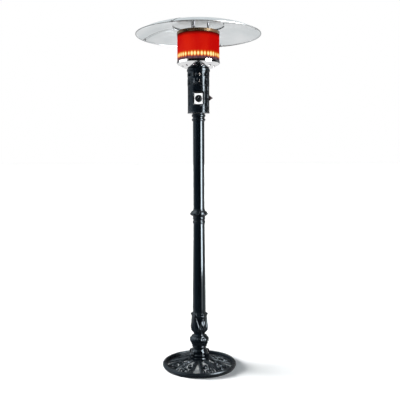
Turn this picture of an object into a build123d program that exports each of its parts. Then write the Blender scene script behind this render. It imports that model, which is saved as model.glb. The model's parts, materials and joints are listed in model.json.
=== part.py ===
from build123d import *
import math
import os

# Free-standing gas patio heater: a pierced cast base, a turned post, a ventilated control
# housing, a perforated emitter drum and a domed reflector built from a disc and four petals.
# Millimetres, +Z up, origin on the floor at the centre of the base, -Y is the control side.

os.makedirs("parts", exist_ok=True)

# ---------------------------------------------------------------- driving dimensions
GAP = 0.1                   # clearance between nested round pieces of one body
RUNNING = 0.05              # radial clearance of a moving fit
SHEET = 1.0                 # sheet metal thickness

PAD_HEIGHT = 3
BASE_RADIUS = 252
RIM_TOP = 35
RIM_INNER = 219
HUB_RADIUS = 74
HUB_TOP = 62
HUB_THICKNESS = 12
GLIDE_CIRCLE = 229.5
GLIDE_RADIUS = 10
VOLUTE_CIRCLE = 72
VOLUTE_RISE = 29
VOLUTE_RADIUS = 16
WEB_THICKNESS = 9
BASE_SECTORS = 4
BASE_TURN = -96             # the first rib pair lies a little left of the control side

NECK_Z = 231
NECK_RADIUS = 38
KNUCKLE_Z = 191
KNUCKLE_RADIUS = 65.5
GADROONS = 20
VASE_BELLY_RADIUS = 59
VASE_TOP = 378
BEADS = 6
BEAD_Z = 366.5
BEAD_RADIUS = 9.5

POLE_WALL = 2.5
LOWER_POLE_R0 = 45.4
LOWER_POLE_R1 = 38.4
POLE_JOINT_Z = 1000
UPPER_POLE_RADIUS = 38.1
MID_RING_Z = 1052
MID_RING_RADIUS = 59.5

HOUSING_BOTTOM = 1727
HOUSING_TOP = 2004
HOUSING_RADIUS = 72
HOUSING_BORE = 69
HOUSING_SCREW_Z = 1741
VENTS = 12
VENT_TURN = 6               # the vents are turned a little from the control side
CONTROL_Z = 1820
WINDOW_Z = CONTROL_Z + 4
IGNITER_Z = 1830

VALVE_HALF = 28             # half the height of the valve block
SHAFT_RADIUS = 4
PLUNGER_RADIUS = 7
BONNET_RADIUS = 11
BONNET_FRONT = 52.4         # distances forward of the heater's axis
SHAFT_FRONT = 76
KNOB_BACK = 63
KNOB_FRONT = 82
KNOB_RADIUS = 23.5
GRIP_RADIUS = 19.5
PUSH_ROD_RADIUS = 3
BUTTON_BACK = 69
BUTTON_RADIUS = 15
BARREL_RADIUS = 9
COLLAR_RADIUS = 16.8

CAP_TOP = 2022
CAP_RADIUS = 76.2
CAP_HOLE = 30
LEG_CIRCLE = 50
DISH_INNER = 66
DISH_MIDDLE = 104
DISH_OUTER = 137.6
DISH_MIDDLE_RISE = 13.2
DISH_RISE = 32.5
AIR_HOLES = 12
AIR_HOLE_CIRCLE = 106
AIR_HOLE_RADIUS = 7.5

DRUM_RADIUS = 142
BAND_TOP = 2069
DRUM_TOP = 2264
TOP_BAND_BOTTOM = 2244
DRUM_SCREW_RADIUS = 1.5
PAN_RADIUS = 112
PAN_BOTTOM = 2080
PAN_TOP = 2104

PIPE_RADIUS = 10.65         # half-inch pipe
INLET_RADIUS = 9.15         # tapping size of the half-inch pipe thread
INLET_BOTTOM = 6
INLET_DEPTH = 14
RISER_TOP = 1800
LINE_CIRCLE = 25.5          # pilot line, thermocouple lead and igniter wire, round the venturi
LINE_CROSS_Z = 2064         # where the lines run outward, between the dish and the pan
TIP_CIRCLE = 124
TIP_BASE_Z = 2086
VENTURI_RADIUS = 19
PILOT_TURN = 12             # the pilot and its probe stand either side of the electrode

RIM_Z = 2244
DOME_HEIGHT = 85
DISC_RADIUS = 190
DISC_EDGE_HEIGHT = 61
PETAL_MIDDLE = 305
PETAL_MIDDLE_HEIGHT = 45
PETAL_INNER = 172
LIP_CIRCLE = 413.5
LIP_RADIUS = 3
PETALS = 4
SEAM_TURN = 65
SEAM_SCREW_RADII = (182, 402)
SEAM_LAP = 3                # degrees by which each petal's joggled edge laps the next petal
SEAM_SCREW_TURN = 1.6       # the screws stand in the middle of the lap
STUD_CIRCLE = 66
SPACER_RADIUS = 6.2
STUD_TURN = 7
STUDS = 3



# ---------------------------------------------------------------- shape helpers
def outline(start, *steps):
    """Closed face in radius and height. A step is a point, or a (middle, end) pair for an arc."""
    edges = []
    here = start
    for step in steps:
        if isinstance(step[0], tuple):
            middle, end = step
            edges.append(ThreePointArc(here, middle, end))
        else:
            end = step
            edges.append(Line(here, end))
        here = end
    edges.append(Line(here, start))
    return Plane.XZ * make_face(edges)


def turned(face, angle=360):
    return revolve(face, Axis.Z, angle)


def drum(radius, low, high):
    up = (Align.CENTER, Align.CENTER, Align.MIN)
    return Pos(0, 0, low) * Cylinder(radius, high - low, align=up)


def tube(outer, inner, low, high):
    return drum(outer, low, high) - drum(inner, low - 1, high + 1)


def taper(low_radius, high_radius, low, high):
    up = (Align.CENTER, Align.CENTER, Align.MIN)
    return Pos(0, 0, low) * Cone(low_radius, high_radius, high - low, align=up)


def bead(radius, height, minor):
    return Pos(0, 0, height) * Torus(radius, minor)


def around(shape, count, turn=0):
    """The shape repeated about Z at equal angles."""
    return [Rot(0, 0, turn + 360 / count * i) * shape for i in range(count)]


def to_front(shape, x=0, z=0):
    """Turn a shape made along +Z so that it points to -Y, and place it."""
    return Pos(x, 0, z) * (Rot(90, 0, 0) * shape)


def to_side(shape, z=0):
    """Turn a shape made along +Z so that it points to +X, at a height."""
    return Pos(0, 0, z) * (Rot(0, 90, 0) * shape)


def hex_bar(across, low, high):
    return Pos(0, 0, low) * extrude(RegularPolygon(across / 2, 6, major_radius=False), high - low)


def hex_nut(across, bore, low, high):
    return hex_bar(across, low, high) - drum(bore, low - 1, high + 1)


def pan_screw(shaft, head, length, head_height):
    """A round-headed screw along -Z with the underside of its head at the origin."""
    cap = drum(head, 0, head_height)
    cap = fillet(cap.edges().sort_by(Axis.Z)[-1], head_height * 0.6)
    return cap + drum(shaft, -length, 0.01)


def block(x0, x1, y0, y1, z0, z1):
    centre = Pos((x0 + x1) / 2, (y0 + y1) / 2, (z0 + z1) / 2)
    return centre * Box(x1 - x0, y1 - y0, z1 - z0)


def save(shape, name):
    """Write one named node. A list is kept as a group of separate solids."""
    if isinstance(shape, list):
        shape = Compound(children=shape)
    shape.label = name
    export_step(shape, f"parts/{name}.step")


# ---------------------------------------------------------------- base and foot
def web_height(radius):
    """Top of the web, a shallow cone that falls from the hub to the rim."""
    fall = (HUB_TOP - RIM_TOP + 9) / (RIM_INNER - HUB_RADIUS)
    return HUB_TOP - 2 - fall * (radius - HUB_RADIUS)


def web_cone():
    inner, outer = HUB_RADIUS - 6, RIM_INNER + 3
    return turned(outline(
        (inner, web_height(inner) - WEB_THICKNESS),
        (outer, web_height(outer) - WEB_THICKNESS),
        (outer, web_height(outer)),
        (inner, web_height(inner)),
    ))


def rib_pair():
    """Two ribs that part on their way out, with a triangular opening between them at the rim."""
    rib = make_face(Polyline(
        (HUB_RADIUS - 8, -6), (RIM_INNER + 2, 27), (RIM_INNER + 2, 45), (HUB_RADIUS - 8, 18),
        close=True))
    return [rib, mirror(rib, Plane.XZ)]


def scroll_ring(distance, side, radius, width):
    ring = Circle(radius + width / 2) - Circle(radius - width / 2)
    return Pos(distance, side) * ring


def scroll_group():
    """The openwork between two rib pairs: a stem with a leaf, two large and four small scrolls."""
    stem = Pos(HUB_RADIUS + 38, 0) * Rectangle(92, 9)
    leaf = Pos(182, 0) * Ellipse(34, 13)
    rings = [scroll_ring(143, side * 36, 27, 10) for side in (-1, 1)]
    rings += [scroll_ring(198, side * 38, 20, 9) for side in (-1, 1)]
    rings += [scroll_ring(150, side * 84, 20, 9) for side in (-1, 1)]
    rings += [scroll_ring(98, side * 32, 16, 8) for side in (-1, 1)]
    return [stem, leaf] + rings


def volute():
    """A small upright scroll bracket at the side of the foot."""
    curl = to_front(drum(VOLUTE_RADIUS, -7, 7))
    return Pos(VOLUTE_CIRCLE, 0, HUB_TOP + VOLUTE_RISE) * curl


def base_casting():
    rim = turned(outline(
        (RIM_INNER, PAD_HEIGHT),
        (BASE_RADIUS - 10, PAD_HEIGHT),
        ((BASE_RADIUS - 4, PAD_HEIGHT + 7), (BASE_RADIUS - 0.6, PAD_HEIGHT + 15)),
        ((BASE_RADIUS, PAD_HEIGHT + 19), (BASE_RADIUS - 1.4, RIM_TOP - 9)),
        ((BASE_RADIUS - 4, RIM_TOP - 3), (BASE_RADIUS - 11, RIM_TOP)),
        (BASE_RADIUS - 18, RIM_TOP - 1),
        ((BASE_RADIUS - 26, RIM_TOP - 3), (RIM_INNER, RIM_TOP - 10)),
    ))
    plan = []
    for i in range(BASE_SECTORS):
        turn = BASE_TURN + 360 / BASE_SECTORS * i
        plan += [Rot(0, 0, turn) * piece for piece in rib_pair()]
        plan += [Rot(0, 0, turn + 180 / BASE_SECTORS) * piece for piece in scroll_group()]
    bars = extrude(Sketch() + plan, HUB_TOP + 5)
    hub = drum(HUB_RADIUS, HUB_TOP - HUB_THICKNESS, HUB_TOP)
    return rim + (bars & web_cone()) + hub - drum(PIPE_RADIUS + 1, 0, HUB_TOP + 1)


def glide_pads():
    pad = Pos(GLIDE_CIRCLE, 0, 0) * drum(GLIDE_RADIUS, 0, PAD_HEIGHT)
    return around(pad, 6)


def foot_casting():
    """Two base mouldings, a waist and the gadrooned knuckle, with the pipe bore through it."""
    body = turned(outline(
        (32, HUB_TOP),
        (66, HUB_TOP),
        ((69, HUB_TOP + 6), (66, HUB_TOP + 12)),
        (61, HUB_TOP + 14),
        (62, HUB_TOP + 22),
        ((64, HUB_TOP + 28), (60, HUB_TOP + 34)),
        (56, HUB_TOP + 38),
        (54.4, 119),
        ((48, 123), (45.8, 133)),
        (46.3, 140),
        ((49.5, 144), (48.5, 150)),
        (52, 156),
        (59.9, 175),
        ((65, 181), (KNUCKLE_RADIUS, KNUCKLE_Z)),
        ((64.5, 199), (55.7, 210)),
        (51, 217),
        (NECK_RADIUS + 2.5, 223),
        ((NECK_RADIUS, 227), (NECK_RADIUS, NECK_Z)),
        (26, NECK_Z),
    ))
    hollow = around(Pos(KNUCKLE_RADIUS + 3.5, 0, 174) * (Rot(0, -20, 0) * Cylinder(3.6, 34)),
                    GADROONS, 180 / GADROONS)
    for groove in hollow:
        body -= groove
    for bracket in around(volute(), 4, 45):
        body += bracket - drum(50, HUB_TOP, NECK_Z)
    return body


def gas_inlet_coupling():
    """Pipe coupling under the hub. Its lower thread takes the supply pipe from the floor."""
    top = INLET_BOTTOM + 2 * INLET_DEPTH
    body = hex_bar(30, INLET_BOTTOM, top)
    body -= drum(INLET_RADIUS, INLET_BOTTOM - 1, top)
    return body - drum(PIPE_RADIUS + GAP, INLET_BOTTOM + INLET_DEPTH, top + 1)


def gas_riser_pipe():
    return tube(PIPE_RADIUS, PIPE_RADIUS - 2.8, INLET_BOTTOM + INLET_DEPTH, RISER_TOP)


def clamp_washers():
    under_hub = HUB_TOP - HUB_THICKNESS
    low = tube(22, PIPE_RADIUS + GAP, under_hub - 3, under_hub)
    high_floor = HOUSING_BOTTOM + 4
    return [low, tube(22, PIPE_RADIUS + GAP, high_floor, high_floor + 3)]


def clamp_nuts():
    under_washer = HUB_TOP - HUB_THICKNESS - 3
    low = hex_nut(34, PIPE_RADIUS + GAP, under_washer - 12, under_washer)
    over_washer = HOUSING_BOTTOM + 7
    return [low, hex_nut(34, PIPE_RADIUS + GAP, over_washer, over_washer + 12)]


# ---------------------------------------------------------------- post
def vase_casting():
    """The leaf vase with its ring of beads and a spigot that centres the lower pole."""
    spigot = LOWER_POLE_R0 - POLE_WALL - 1
    body = turned(outline(
        (26, NECK_Z),
        (NECK_RADIUS, NECK_Z),
        ((41.7, 238), (51.2, 252)),
        ((57.5, 264), (VASE_BELLY_RADIUS, 275)),
        ((57.4, 298), (51.7, 342)),
        ((50.6, 350), (52.5, 357)),
        (50, BEAD_Z),
        (46.2, VASE_TOP),
        (spigot, VASE_TOP),
        (spigot, VASE_TOP + 30),
        (spigot - 8, VASE_TOP + 30),
        (spigot - 8, 250),
    ))
    for ball in around(Pos(48.8, 0, BEAD_Z) * Sphere(BEAD_RADIUS), BEADS):
        body += ball - drum(40, VASE_TOP - 40, VASE_TOP)
    return body


def pole_radius(height):
    share = (height - VASE_TOP) / (POLE_JOINT_Z - VASE_TOP)
    return LOWER_POLE_R0 + (LOWER_POLE_R1 - LOWER_POLE_R0) * share


def lower_pole():
    outer = taper(LOWER_POLE_R0, LOWER_POLE_R1, VASE_TOP, POLE_JOINT_Z)
    return outer - taper(LOWER_POLE_R0 - POLE_WALL, LOWER_POLE_R1 - POLE_WALL, VASE_TOP, POLE_JOINT_Z)


def upper_pole():
    return tube(UPPER_POLE_RADIUS, UPPER_POLE_RADIUS - 2, POLE_JOINT_Z, HOUSING_BOTTOM)


def pole_sleeve():
    return tube(LOWER_POLE_R1 - POLE_WALL - 0.4, 31, POLE_JOINT_Z - 70, POLE_JOINT_Z + 70)


def mid_collar():
    """The moulded collar over the pole joint: a pointed ring above two beads."""
    bore = LOWER_POLE_R1 + 0.25
    body = turned(outline(
        (bore, 988),
        (39.4, 988),
        ((43.6, 997), (39.6, 1008)),
        (39.6, 1013),
        ((43.8, 1023), (41, 1033)),
        ((46, 1040), (54.7, 1044)),
        ((58.5, 1046.5), (MID_RING_RADIUS, MID_RING_Z)),
        ((58.3, 1060), (48.1, 1071)),
        ((42.5, 1076), (39.6, 1084)),
        (bore, 1084),
    ))
    for hole in around(to_side(drum(2.6, 0, 60), 1028), 3, 90):
        body -= hole
    return body


def collar_set_screws():
    grub = drum(2.5, LOWER_POLE_R1 + 0.3, 42.5)
    socket = hex_bar(2.5, 40.5, 43)
    return around(to_side(grub - socket, 1028), 3, 90)


def upper_collar():
    bore = UPPER_POLE_RADIUS + GAP
    return turned(outline(
        (bore, 1674),
        (39.4, 1674),
        ((44.4, 1684), (40, 1695)),
        (40, 1700),
        ((44.8, 1712), (42, 1724)),
        (42, HOUSING_BOTTOM),
        (bore, HOUSING_BOTTOM),
    ))


# ---------------------------------------------------------------- control housing
def housing_base_plate():
    rim = HOUSING_BORE - GAP
    plate = drum(rim, HOUSING_BOTTOM, HOUSING_BOTTOM + 4)
    plate += tube(rim, rim - 4, HOUSING_BOTTOM, HOUSING_BOTTOM + 18)
    plate -= drum(PIPE_RADIUS + GAP, HOUSING_BOTTOM - 1, HOUSING_BOTTOM + 5)
    for hole in housing_screw_holes():
        plate -= hole
    return plate


def housing_screw_holes():
    return around(to_side(drum(2.1, 55, 90), HOUSING_SCREW_Z), 3, 90)


def housing_screws():
    screw = Pos(0, 0, HOUSING_RADIUS + 0.2) * pan_screw(2, 3.8, 8, 2.2)
    return around(to_side(screw, HOUSING_SCREW_Z), 3, 90)


def arch_vent():
    plan = Pos(0, -6) * Rectangle(13, 16) + Pos(0, 2) * Circle(6.5)
    return to_front(extrude(plan, 40)), HOUSING_TOP - 22


def drop_vent():
    """A teardrop: a round belly drawn up to a point."""
    belly = 6
    height = 30
    reach = math.sqrt(height ** 2 - belly ** 2)
    side = belly * reach / height
    rise = belly ** 2 / height
    tip = make_face(Polyline((-side, rise), (side, rise), (0, height), close=True))
    return to_front(extrude(Circle(belly) + tip, 40)), 1921


def vent_ring(vent):
    shape, height = vent
    return around(Pos(0, -50, height) * shape, VENTS, VENT_TURN)


def control_housing():
    """The cast shell: flanges, ridges, two rows of vents, the control window, the igniter hole."""
    body = turned(outline(
        (HOUSING_BORE, HOUSING_BOTTOM),
        (HOUSING_RADIUS, HOUSING_BOTTOM),
        ((73.8, HOUSING_BOTTOM + 4), (HOUSING_RADIUS, HOUSING_BOTTOM + 9)),
        (HOUSING_RADIUS, HOUSING_TOP - 5),
        ((74.6, HOUSING_TOP - 3), (74.6, HOUSING_TOP)),
        (HOUSING_BORE, HOUSING_TOP),
    ))
    for height in (1751, 1771, 1905, 1967):
        body += bead(HOUSING_RADIUS - 0.4, height, 1.7)
    for cut in vent_ring(arch_vent()) + vent_ring(drop_vent()) + housing_screw_holes():
        body -= cut
    window = extrude(RectangleRounded(72, 88, 10), 40)
    body -= Pos(0, -50, WINDOW_Z) * to_front(window)
    return body - to_side(drum(17, 40, 90), IGNITER_Z)


def housing_top_cap():
    """Cap with rounded shoulders. The dish bolts on to its top, and the venturi rises through it."""
    cap = turned(outline(
        (CAP_HOLE, CAP_TOP - 3),
        (DISH_INNER - 6, CAP_TOP - 3),
        (66, HOUSING_TOP + 4),
        (66, HOUSING_TOP - 5),
        (HOUSING_BORE - GAP, HOUSING_TOP - 5),
        (HOUSING_BORE - GAP, HOUSING_TOP),
        (CAP_RADIUS, HOUSING_TOP),
        ((CAP_RADIUS + 1, HOUSING_TOP + 6), (CAP_RADIUS, HOUSING_TOP + 12)),
        ((CAP_RADIUS - 1.6, HOUSING_TOP + 16.2), (CAP_RADIUS - 6, CAP_TOP - 0.2)),
        (DISH_INNER, CAP_TOP),
        (CAP_HOLE, CAP_TOP),
    ))
    for hole in around(Pos(LEG_CIRCLE, 0, 0) * drum(2.6, CAP_TOP - 10, CAP_TOP + 1), 3, 90):
        cap -= hole
    return cap


def control_recess():
    """The dark tray behind the window that carries the control plate."""
    tray = Pos(0, -54.5, WINDOW_Z) * to_front(extrude(RectangleRounded(70, 86, 9), 6.5))
    tray -= Pos(0, -56, WINDOW_Z) * to_front(extrude(RectangleRounded(67, 83, 7.5), 6))
    tray -= to_front(drum(12, 40, 70), 0, CONTROL_Z)
    for hole in tray_screw_holes():
        tray -= hole
    return tray


def tray_places():
    return [(x, WINDOW_Z + z) for x in (-29.7, 29.7) for z in (-36.5, 36.5)]


def tray_screw_holes():
    return [to_front(drum(1.6, 40, 60), x, z) for x, z in tray_places()]


def tray_screws():
    screw = Pos(0, 0, 56.05) * pan_screw(1.5, 2.3, 5, 1.6)
    return [to_front(screw, x, z) for x, z in tray_places()]


def control_plate():
    plate = Pos(0, -56, CONTROL_Z) * to_front(extrude(RectangleRounded(54, 70, 1.5), 1.5))
    return plate - to_front(drum(9, 50, 60), 0, CONTROL_Z)


def valve_bracket():
    back = block(-34, 34, -54.5, -52.5, CONTROL_Z - 43, CONTROL_Z + 47)
    leg = block(-20, 20, -54.5, -52.5, HOUSING_BOTTOM + 4, CONTROL_Z - 43)
    foot = block(-20, 20, -52.5, -28, HOUSING_BOTTOM + 4, HOUSING_BOTTOM + 6)
    plate = back + leg + foot - to_front(drum(11.2, 40, 60), 0, CONTROL_Z)
    for hole in tray_screw_holes():
        plate -= hole
    return plate


# ---------------------------------------------------------------- valve and knob
def gas_valve_body():
    """Cast valve: a block on the riser with a bonnet to the front and an outlet on top."""
    body = block(-22, 22, -38, 16, CONTROL_Z - VALVE_HALF, CONTROL_Z + VALVE_HALF)
    body = fillet(body.edges().filter_by(Axis.Z), 5)
    body += to_front(drum(BONNET_RADIUS, 37, BONNET_FRONT), 0, CONTROL_Z)
    body -= to_front(drum(SHAFT_RADIUS + RUNNING, 30, BONNET_FRONT + 1), 0, CONTROL_Z)
    body -= to_front(drum(PLUNGER_RADIUS + 1, 4, 32), 0, CONTROL_Z)
    body -= drum(PIPE_RADIUS + GAP, CONTROL_Z - VALVE_HALF - 1, RISER_TOP)
    return body


def valve_stem():
    """The turning shaft: it runs from the knob through the bonnet to a foot in the valve."""
    return to_front(drum(SHAFT_RADIUS, 27, SHAFT_FRONT), 0, CONTROL_Z)


def valve_plunger():
    """The sliding core that the shaft pushes against the return spring."""
    return to_front(drum(PLUNGER_RADIUS, 16, 26.7), 0, CONTROL_Z)


def valve_spring():
    coil = Wire([Edge.make_helix(2.2, 10.6, 5)])
    section = Plane(origin=coil @ 0, z_dir=coil % 0) * Circle(0.5)
    return to_front(Pos(0, 0, 4.65) * sweep(section, path=coil), 0, CONTROL_Z)


def control_knob():
    """Round knob: a skirt, a finger grip across its face and a socket for the shaft."""
    skirt = fillet(drum(KNOB_RADIUS, KNOB_BACK, 72).edges().sort_by(Axis.Z)[-1], 2)
    grip = fillet(drum(GRIP_RADIUS, 71, KNOB_FRONT).edges().sort_by(Axis.Z)[-1], 3)
    knob = skirt + grip
    for side in (-1, 1):
        knob -= Pos(side * 26, 0, 80) * Cylinder(16, 14)
    knob -= drum(SHAFT_RADIUS + GAP, KNOB_BACK - 1, SHAFT_FRONT + 0.2)
    return to_front(knob, 0, CONTROL_Z)


# ---------------------------------------------------------------- igniter
def igniter_button():
    """Pointed push button with a rod that enters the piezo barrel."""
    head = turned(outline(
        (0, BUTTON_BACK),
        (BUTTON_RADIUS, BUTTON_BACK),
        (BUTTON_RADIUS, BUTTON_BACK + 8),
        ((13.5, 79.5), (11, 81)),
        (3.4, 92.5),
        ((2.6, 94.2), (1, 94.8)),
        (0, 94.8),
    ))
    return to_side(head + drum(PUSH_ROD_RADIUS, 52, BUTTON_BACK + 0.5), IGNITER_Z)


def igniter_body():
    barrel = drum(BARREL_RADIUS, 30, 61) + drum(COLLAR_RADIUS, 60, 62.5)
    return to_side(barrel - drum(PUSH_ROD_RADIUS + RUNNING, 44, 63), IGNITER_Z)


def igniter_bezel():
    bore = BUTTON_RADIUS + 0.3
    ring = tube(COLLAR_RADIUS, bore, 62.6, 73) + tube(19.5, bore, 72.4, 74.6)
    return to_side(ring, IGNITER_Z)


def routed_line(start, lift, top, radius):
    """A thin round line: up, in to the line circle, up past the dish, out to the tip circle."""
    bend = TIP_CIRCLE
    route = Plane.XZ * FilletPolyline(
        (start, lift), (start, lift + 14), (LINE_CIRCLE, lift + 38),
        (LINE_CIRCLE, LINE_CROSS_Z), (bend, LINE_CROSS_Z), (bend, top), radius=[20, 20, 12, 12])
    section = Plane(origin=route @ 0, z_dir=route % 0) * Circle(radius)
    return sweep(section, path=route)


def igniter_wire():
    return routed_line(38, IGNITER_Z + BARREL_RADIUS, TIP_BASE_Z, 2)


def igniter_electrode():
    insulator = drum(4, TIP_BASE_Z, TIP_BASE_Z + 24)
    tip = drum(1.2, TIP_BASE_Z + 23, TIP_BASE_Z + 38)
    return Pos(TIP_CIRCLE, 0, 0) * (insulator + tip)


# ---------------------------------------------------------------- gas train and burner
def pilot_tube():
    return Rot(0, 0, PILOT_TURN) * routed_line(18, CONTROL_Z + VALVE_HALF, TIP_BASE_Z, 2)


def thermocouple():
    return Rot(0, 0, -PILOT_TURN) * routed_line(18, CONTROL_Z + VALVE_HALF, TIP_BASE_Z + 36, 1.8)


def pilot_burner():
    hood = TIP_BASE_Z + 18
    nozzle = drum(5, TIP_BASE_Z, hood) + drum(7, hood, hood + 10)
    nozzle -= drum(5.5, hood + 4, hood + 11)
    return Rot(0, 0, PILOT_TURN) * (Pos(TIP_CIRCLE, 0, 0) * nozzle)


def pilot_bracket():
    """A sector plate welded to the pan that holds the pilot, the probe and the electrode."""
    inner, outer = PAN_RADIUS + GAP, TIP_CIRCLE + 8
    low, high = TIP_BASE_Z + 2, TIP_BASE_Z + 4
    spread = 4 * PILOT_TURN - 4
    sector = turned(outline((inner, low), (outer, low), (outer, high), (inner, high)), spread)
    plate = Rot(0, 0, -spread / 2) * sector
    for turn, bore in ((PILOT_TURN, 5.1), (-PILOT_TURN, 1.9), (0, 4.1)):
        plate -= Rot(0, 0, turn) * (Pos(TIP_CIRCLE, 0, 0) * drum(bore, low - 1, high + 1))
    return plate


def orifice_fitting():
    low = CONTROL_Z + VALVE_HALF
    body = hex_bar(14, low, low + 12) + taper(6, 4, low + 12, low + 24)
    return body - drum(1, low - 1, low + 25)


def venturi_tube():
    """Mixing tube with a flared mouth and two primary air windows."""
    low = CONTROL_Z + VALVE_HALF + 30
    body = tube(VENTURI_RADIUS, VENTURI_RADIUS - 1.5, low, PAN_BOTTOM)
    window = block(-30, 30, -7, 7, low + 10, low + 24)
    return body - window


def air_shutter():
    """Collar on the mixing tube. Turning it covers the primary air windows."""
    low = CONTROL_Z + VALVE_HALF + 36
    body = tube(VENTURI_RADIUS + 2, VENTURI_RADIUS + RUNNING, low, low + 24)
    return body - block(-30, 30, -7, 7, low + 5, low + 17)


def burner_pan():
    """Closed drum that feeds the flame ring. The venturi enters through its floor."""
    shell = drum(PAN_RADIUS, PAN_BOTTOM, PAN_TOP)
    hollow = drum(PAN_RADIUS - 1.5, PAN_BOTTOM + 1.5, PAN_TOP - 1.5)
    return shell - hollow - drum(VENTURI_RADIUS - 1.5, PAN_BOTTOM - 1, PAN_BOTTOM + 2)


def burner_legs():
    leg = drum(5, CAP_TOP + SHEET, PAN_BOTTOM) - drum(2.6, CAP_TOP, CAP_TOP + 20)
    return around(Pos(LEG_CIRCLE, 0, 0) * leg, 3, 90)


def dish_bolts():
    bolt = Rot(180, 0, 0) * pan_screw(2.5, 4.5, 17, 3)
    return around(Pos(LEG_CIRCLE, 0, CAP_TOP - 3.05) * bolt, 3, 90)


def tilt_switch():
    return block(-52, -34, 8, 36, HOUSING_BOTTOM + 4, HOUSING_BOTTOM + 26)


# ---------------------------------------------------------------- emitter
def burner_dish():
    """Polished bowl under the emitter, with a narrow flange and a ring of air holes."""
    low = CAP_TOP
    middle = low + DISH_MIDDLE_RISE
    high = low + DISH_RISE
    dish = turned(outline(
        (CAP_HOLE, low),
        (DISH_INNER, low),
        ((DISH_MIDDLE, middle), (DISH_OUTER, high)),
        (DRUM_RADIUS - 1.4, high),
        (DRUM_RADIUS - 1.4, high + SHEET),
        (DISH_OUTER - 0.4, high + SHEET),
        ((DISH_MIDDLE - 0.4, middle + SHEET), (DISH_INNER - 0.2, low + SHEET)),
        (CAP_HOLE, low + SHEET),
    ))
    holes = around(Pos(AIR_HOLE_CIRCLE, 0, 0) * drum(AIR_HOLE_RADIUS, low, high), AIR_HOLES, 15)
    holes += around(Pos(LEG_CIRCLE, 0, 0) * drum(2.6, low - 1, low + 2), 3, 90)
    for hole in holes:
        dish -= hole
    return dish


def lower_band():
    low = CAP_TOP + DISH_RISE
    band = tube(DRUM_RADIUS, DRUM_RADIUS - 1.3, low, BAND_TOP)
    for hole in drum_screw_holes(BAND_TOP - 8):
        band -= hole
    return band


def emitter_screen():
    low = CAP_TOP + DISH_RISE + SHEET
    screen = tube(DRUM_RADIUS - 1.4, DRUM_RADIUS - 2.6, low, DRUM_TOP - 4)
    for hole in drum_screw_holes(BAND_TOP - 8) + drum_screw_holes(DRUM_TOP - 9):
        screen -= hole
    return screen


def drum_screw_holes(height):
    hole = drum(DRUM_SCREW_RADIUS + GAP, DRUM_RADIUS - 10, DRUM_RADIUS + 5)
    return around(to_side(hole, height), 6, 60)


def drum_screws():
    screw = Pos(0, 0, DRUM_RADIUS + 0.05) * pan_screw(DRUM_SCREW_RADIUS, 3, 6, 1.5)
    return [piece for height in (BAND_TOP - 8, DRUM_TOP - 9)
            for piece in around(to_side(screw, height), 6, 60)]


def emitter_top_plate():
    """Lid of the emitter: a slightly crowned plate with a turned-down band."""
    lid = turned(outline(
        (0, DRUM_TOP - 3),
        (DRUM_RADIUS - 1.3, DRUM_TOP - 3),
        (DRUM_RADIUS - 1.3, TOP_BAND_BOTTOM),
        (DRUM_RADIUS, TOP_BAND_BOTTOM),
        (DRUM_RADIUS, DRUM_TOP - 3),
        ((DRUM_RADIUS - 0.8, DRUM_TOP - 1), (DRUM_RADIUS - 3, DRUM_TOP)),
        (0, DRUM_TOP),
    ))
    for hole in drum_screw_holes(DRUM_TOP - 9):
        lid -= hole
    stud_hole = Pos(STUD_CIRCLE, 0, 0) * drum(3.2, DRUM_TOP - 5, DRUM_TOP + 1)
    for hole in around(stud_hole, STUDS, STUD_TURN):
        lid -= hole
    return lid


# ---------------------------------------------------------------- reflector
def circle_through(first, second, third):
    """Centre and radius of the circle through three points of the section."""
    (ax, ay), (bx, by), (cx, cy) = first, second, third
    twice = 2 * (ax * (by - cy) + bx * (cy - ay) + cx * (ay - by))
    a2, b2, c2 = ax * ax + ay * ay, bx * bx + by * by, cx * cx + cy * cy
    x = (a2 * (by - cy) + b2 * (cy - ay) + c2 * (ay - by)) / twice
    y = (a2 * (cx - bx) + b2 * (ax - cx) + c2 * (bx - ax)) / twice
    return x, y, math.hypot(ax - x, ay - y)


DISC_ARC = circle_through(
    (-DISC_RADIUS, RIM_Z + DISC_EDGE_HEIGHT), (0, RIM_Z + DOME_HEIGHT),
    (DISC_RADIUS, RIM_Z + DISC_EDGE_HEIGHT))
PETAL_ARC = circle_through(
    (DISC_RADIUS, RIM_Z + DISC_EDGE_HEIGHT - 1.6), (PETAL_MIDDLE, RIM_Z + PETAL_MIDDLE_HEIGHT),
    (LIP_CIRCLE, RIM_Z + LIP_RADIUS / 2))


def on_arc(arc, radius, lift=0.0):
    """Point of the sheet's section at a radius, raised along the normal by the lift."""
    x, y, size = arc
    slope = math.acos((radius - x) / size)
    reach = size + lift
    return x + reach * math.cos(slope), y + reach * math.sin(slope)


def seat(arc, radius, turn, lift=0.0):
    """Place on the sheet, with +Z along its outer normal."""
    x, y, size = arc
    tilt = 90 - math.degrees(math.acos((radius - x) / size))
    r, z = on_arc(arc, radius, lift)
    return Rot(0, 0, turn) * Pos(r, 0, z) * Rot(0, tilt, 0)


def sheet_section(arc, inner, outer, low, high):
    """Closed section of a curved sheet between two lifts."""
    middle = (inner + outer) / 2
    return outline(
        on_arc(arc, inner, low),
        (on_arc(arc, middle, low), on_arc(arc, outer, low)),
        on_arc(arc, outer, high),
        (on_arc(arc, middle, high), on_arc(arc, inner, high)),
    )


def stud_holes():
    top = RIM_Z + DOME_HEIGHT + 5
    return around(Pos(STUD_CIRCLE, 0, 0) * drum(3.2, top - 30, top), STUDS, STUD_TURN)


def seam_screw_holes(radius):
    arc = DISC_ARC if radius < DISC_RADIUS else PETAL_ARC
    turns = [SEAM_TURN + 360 / PETALS * i + SEAM_SCREW_TURN for i in range(PETALS)]
    return [seat(arc, radius, turn) * drum(2.1, -14, 6) for turn in turns]


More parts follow.
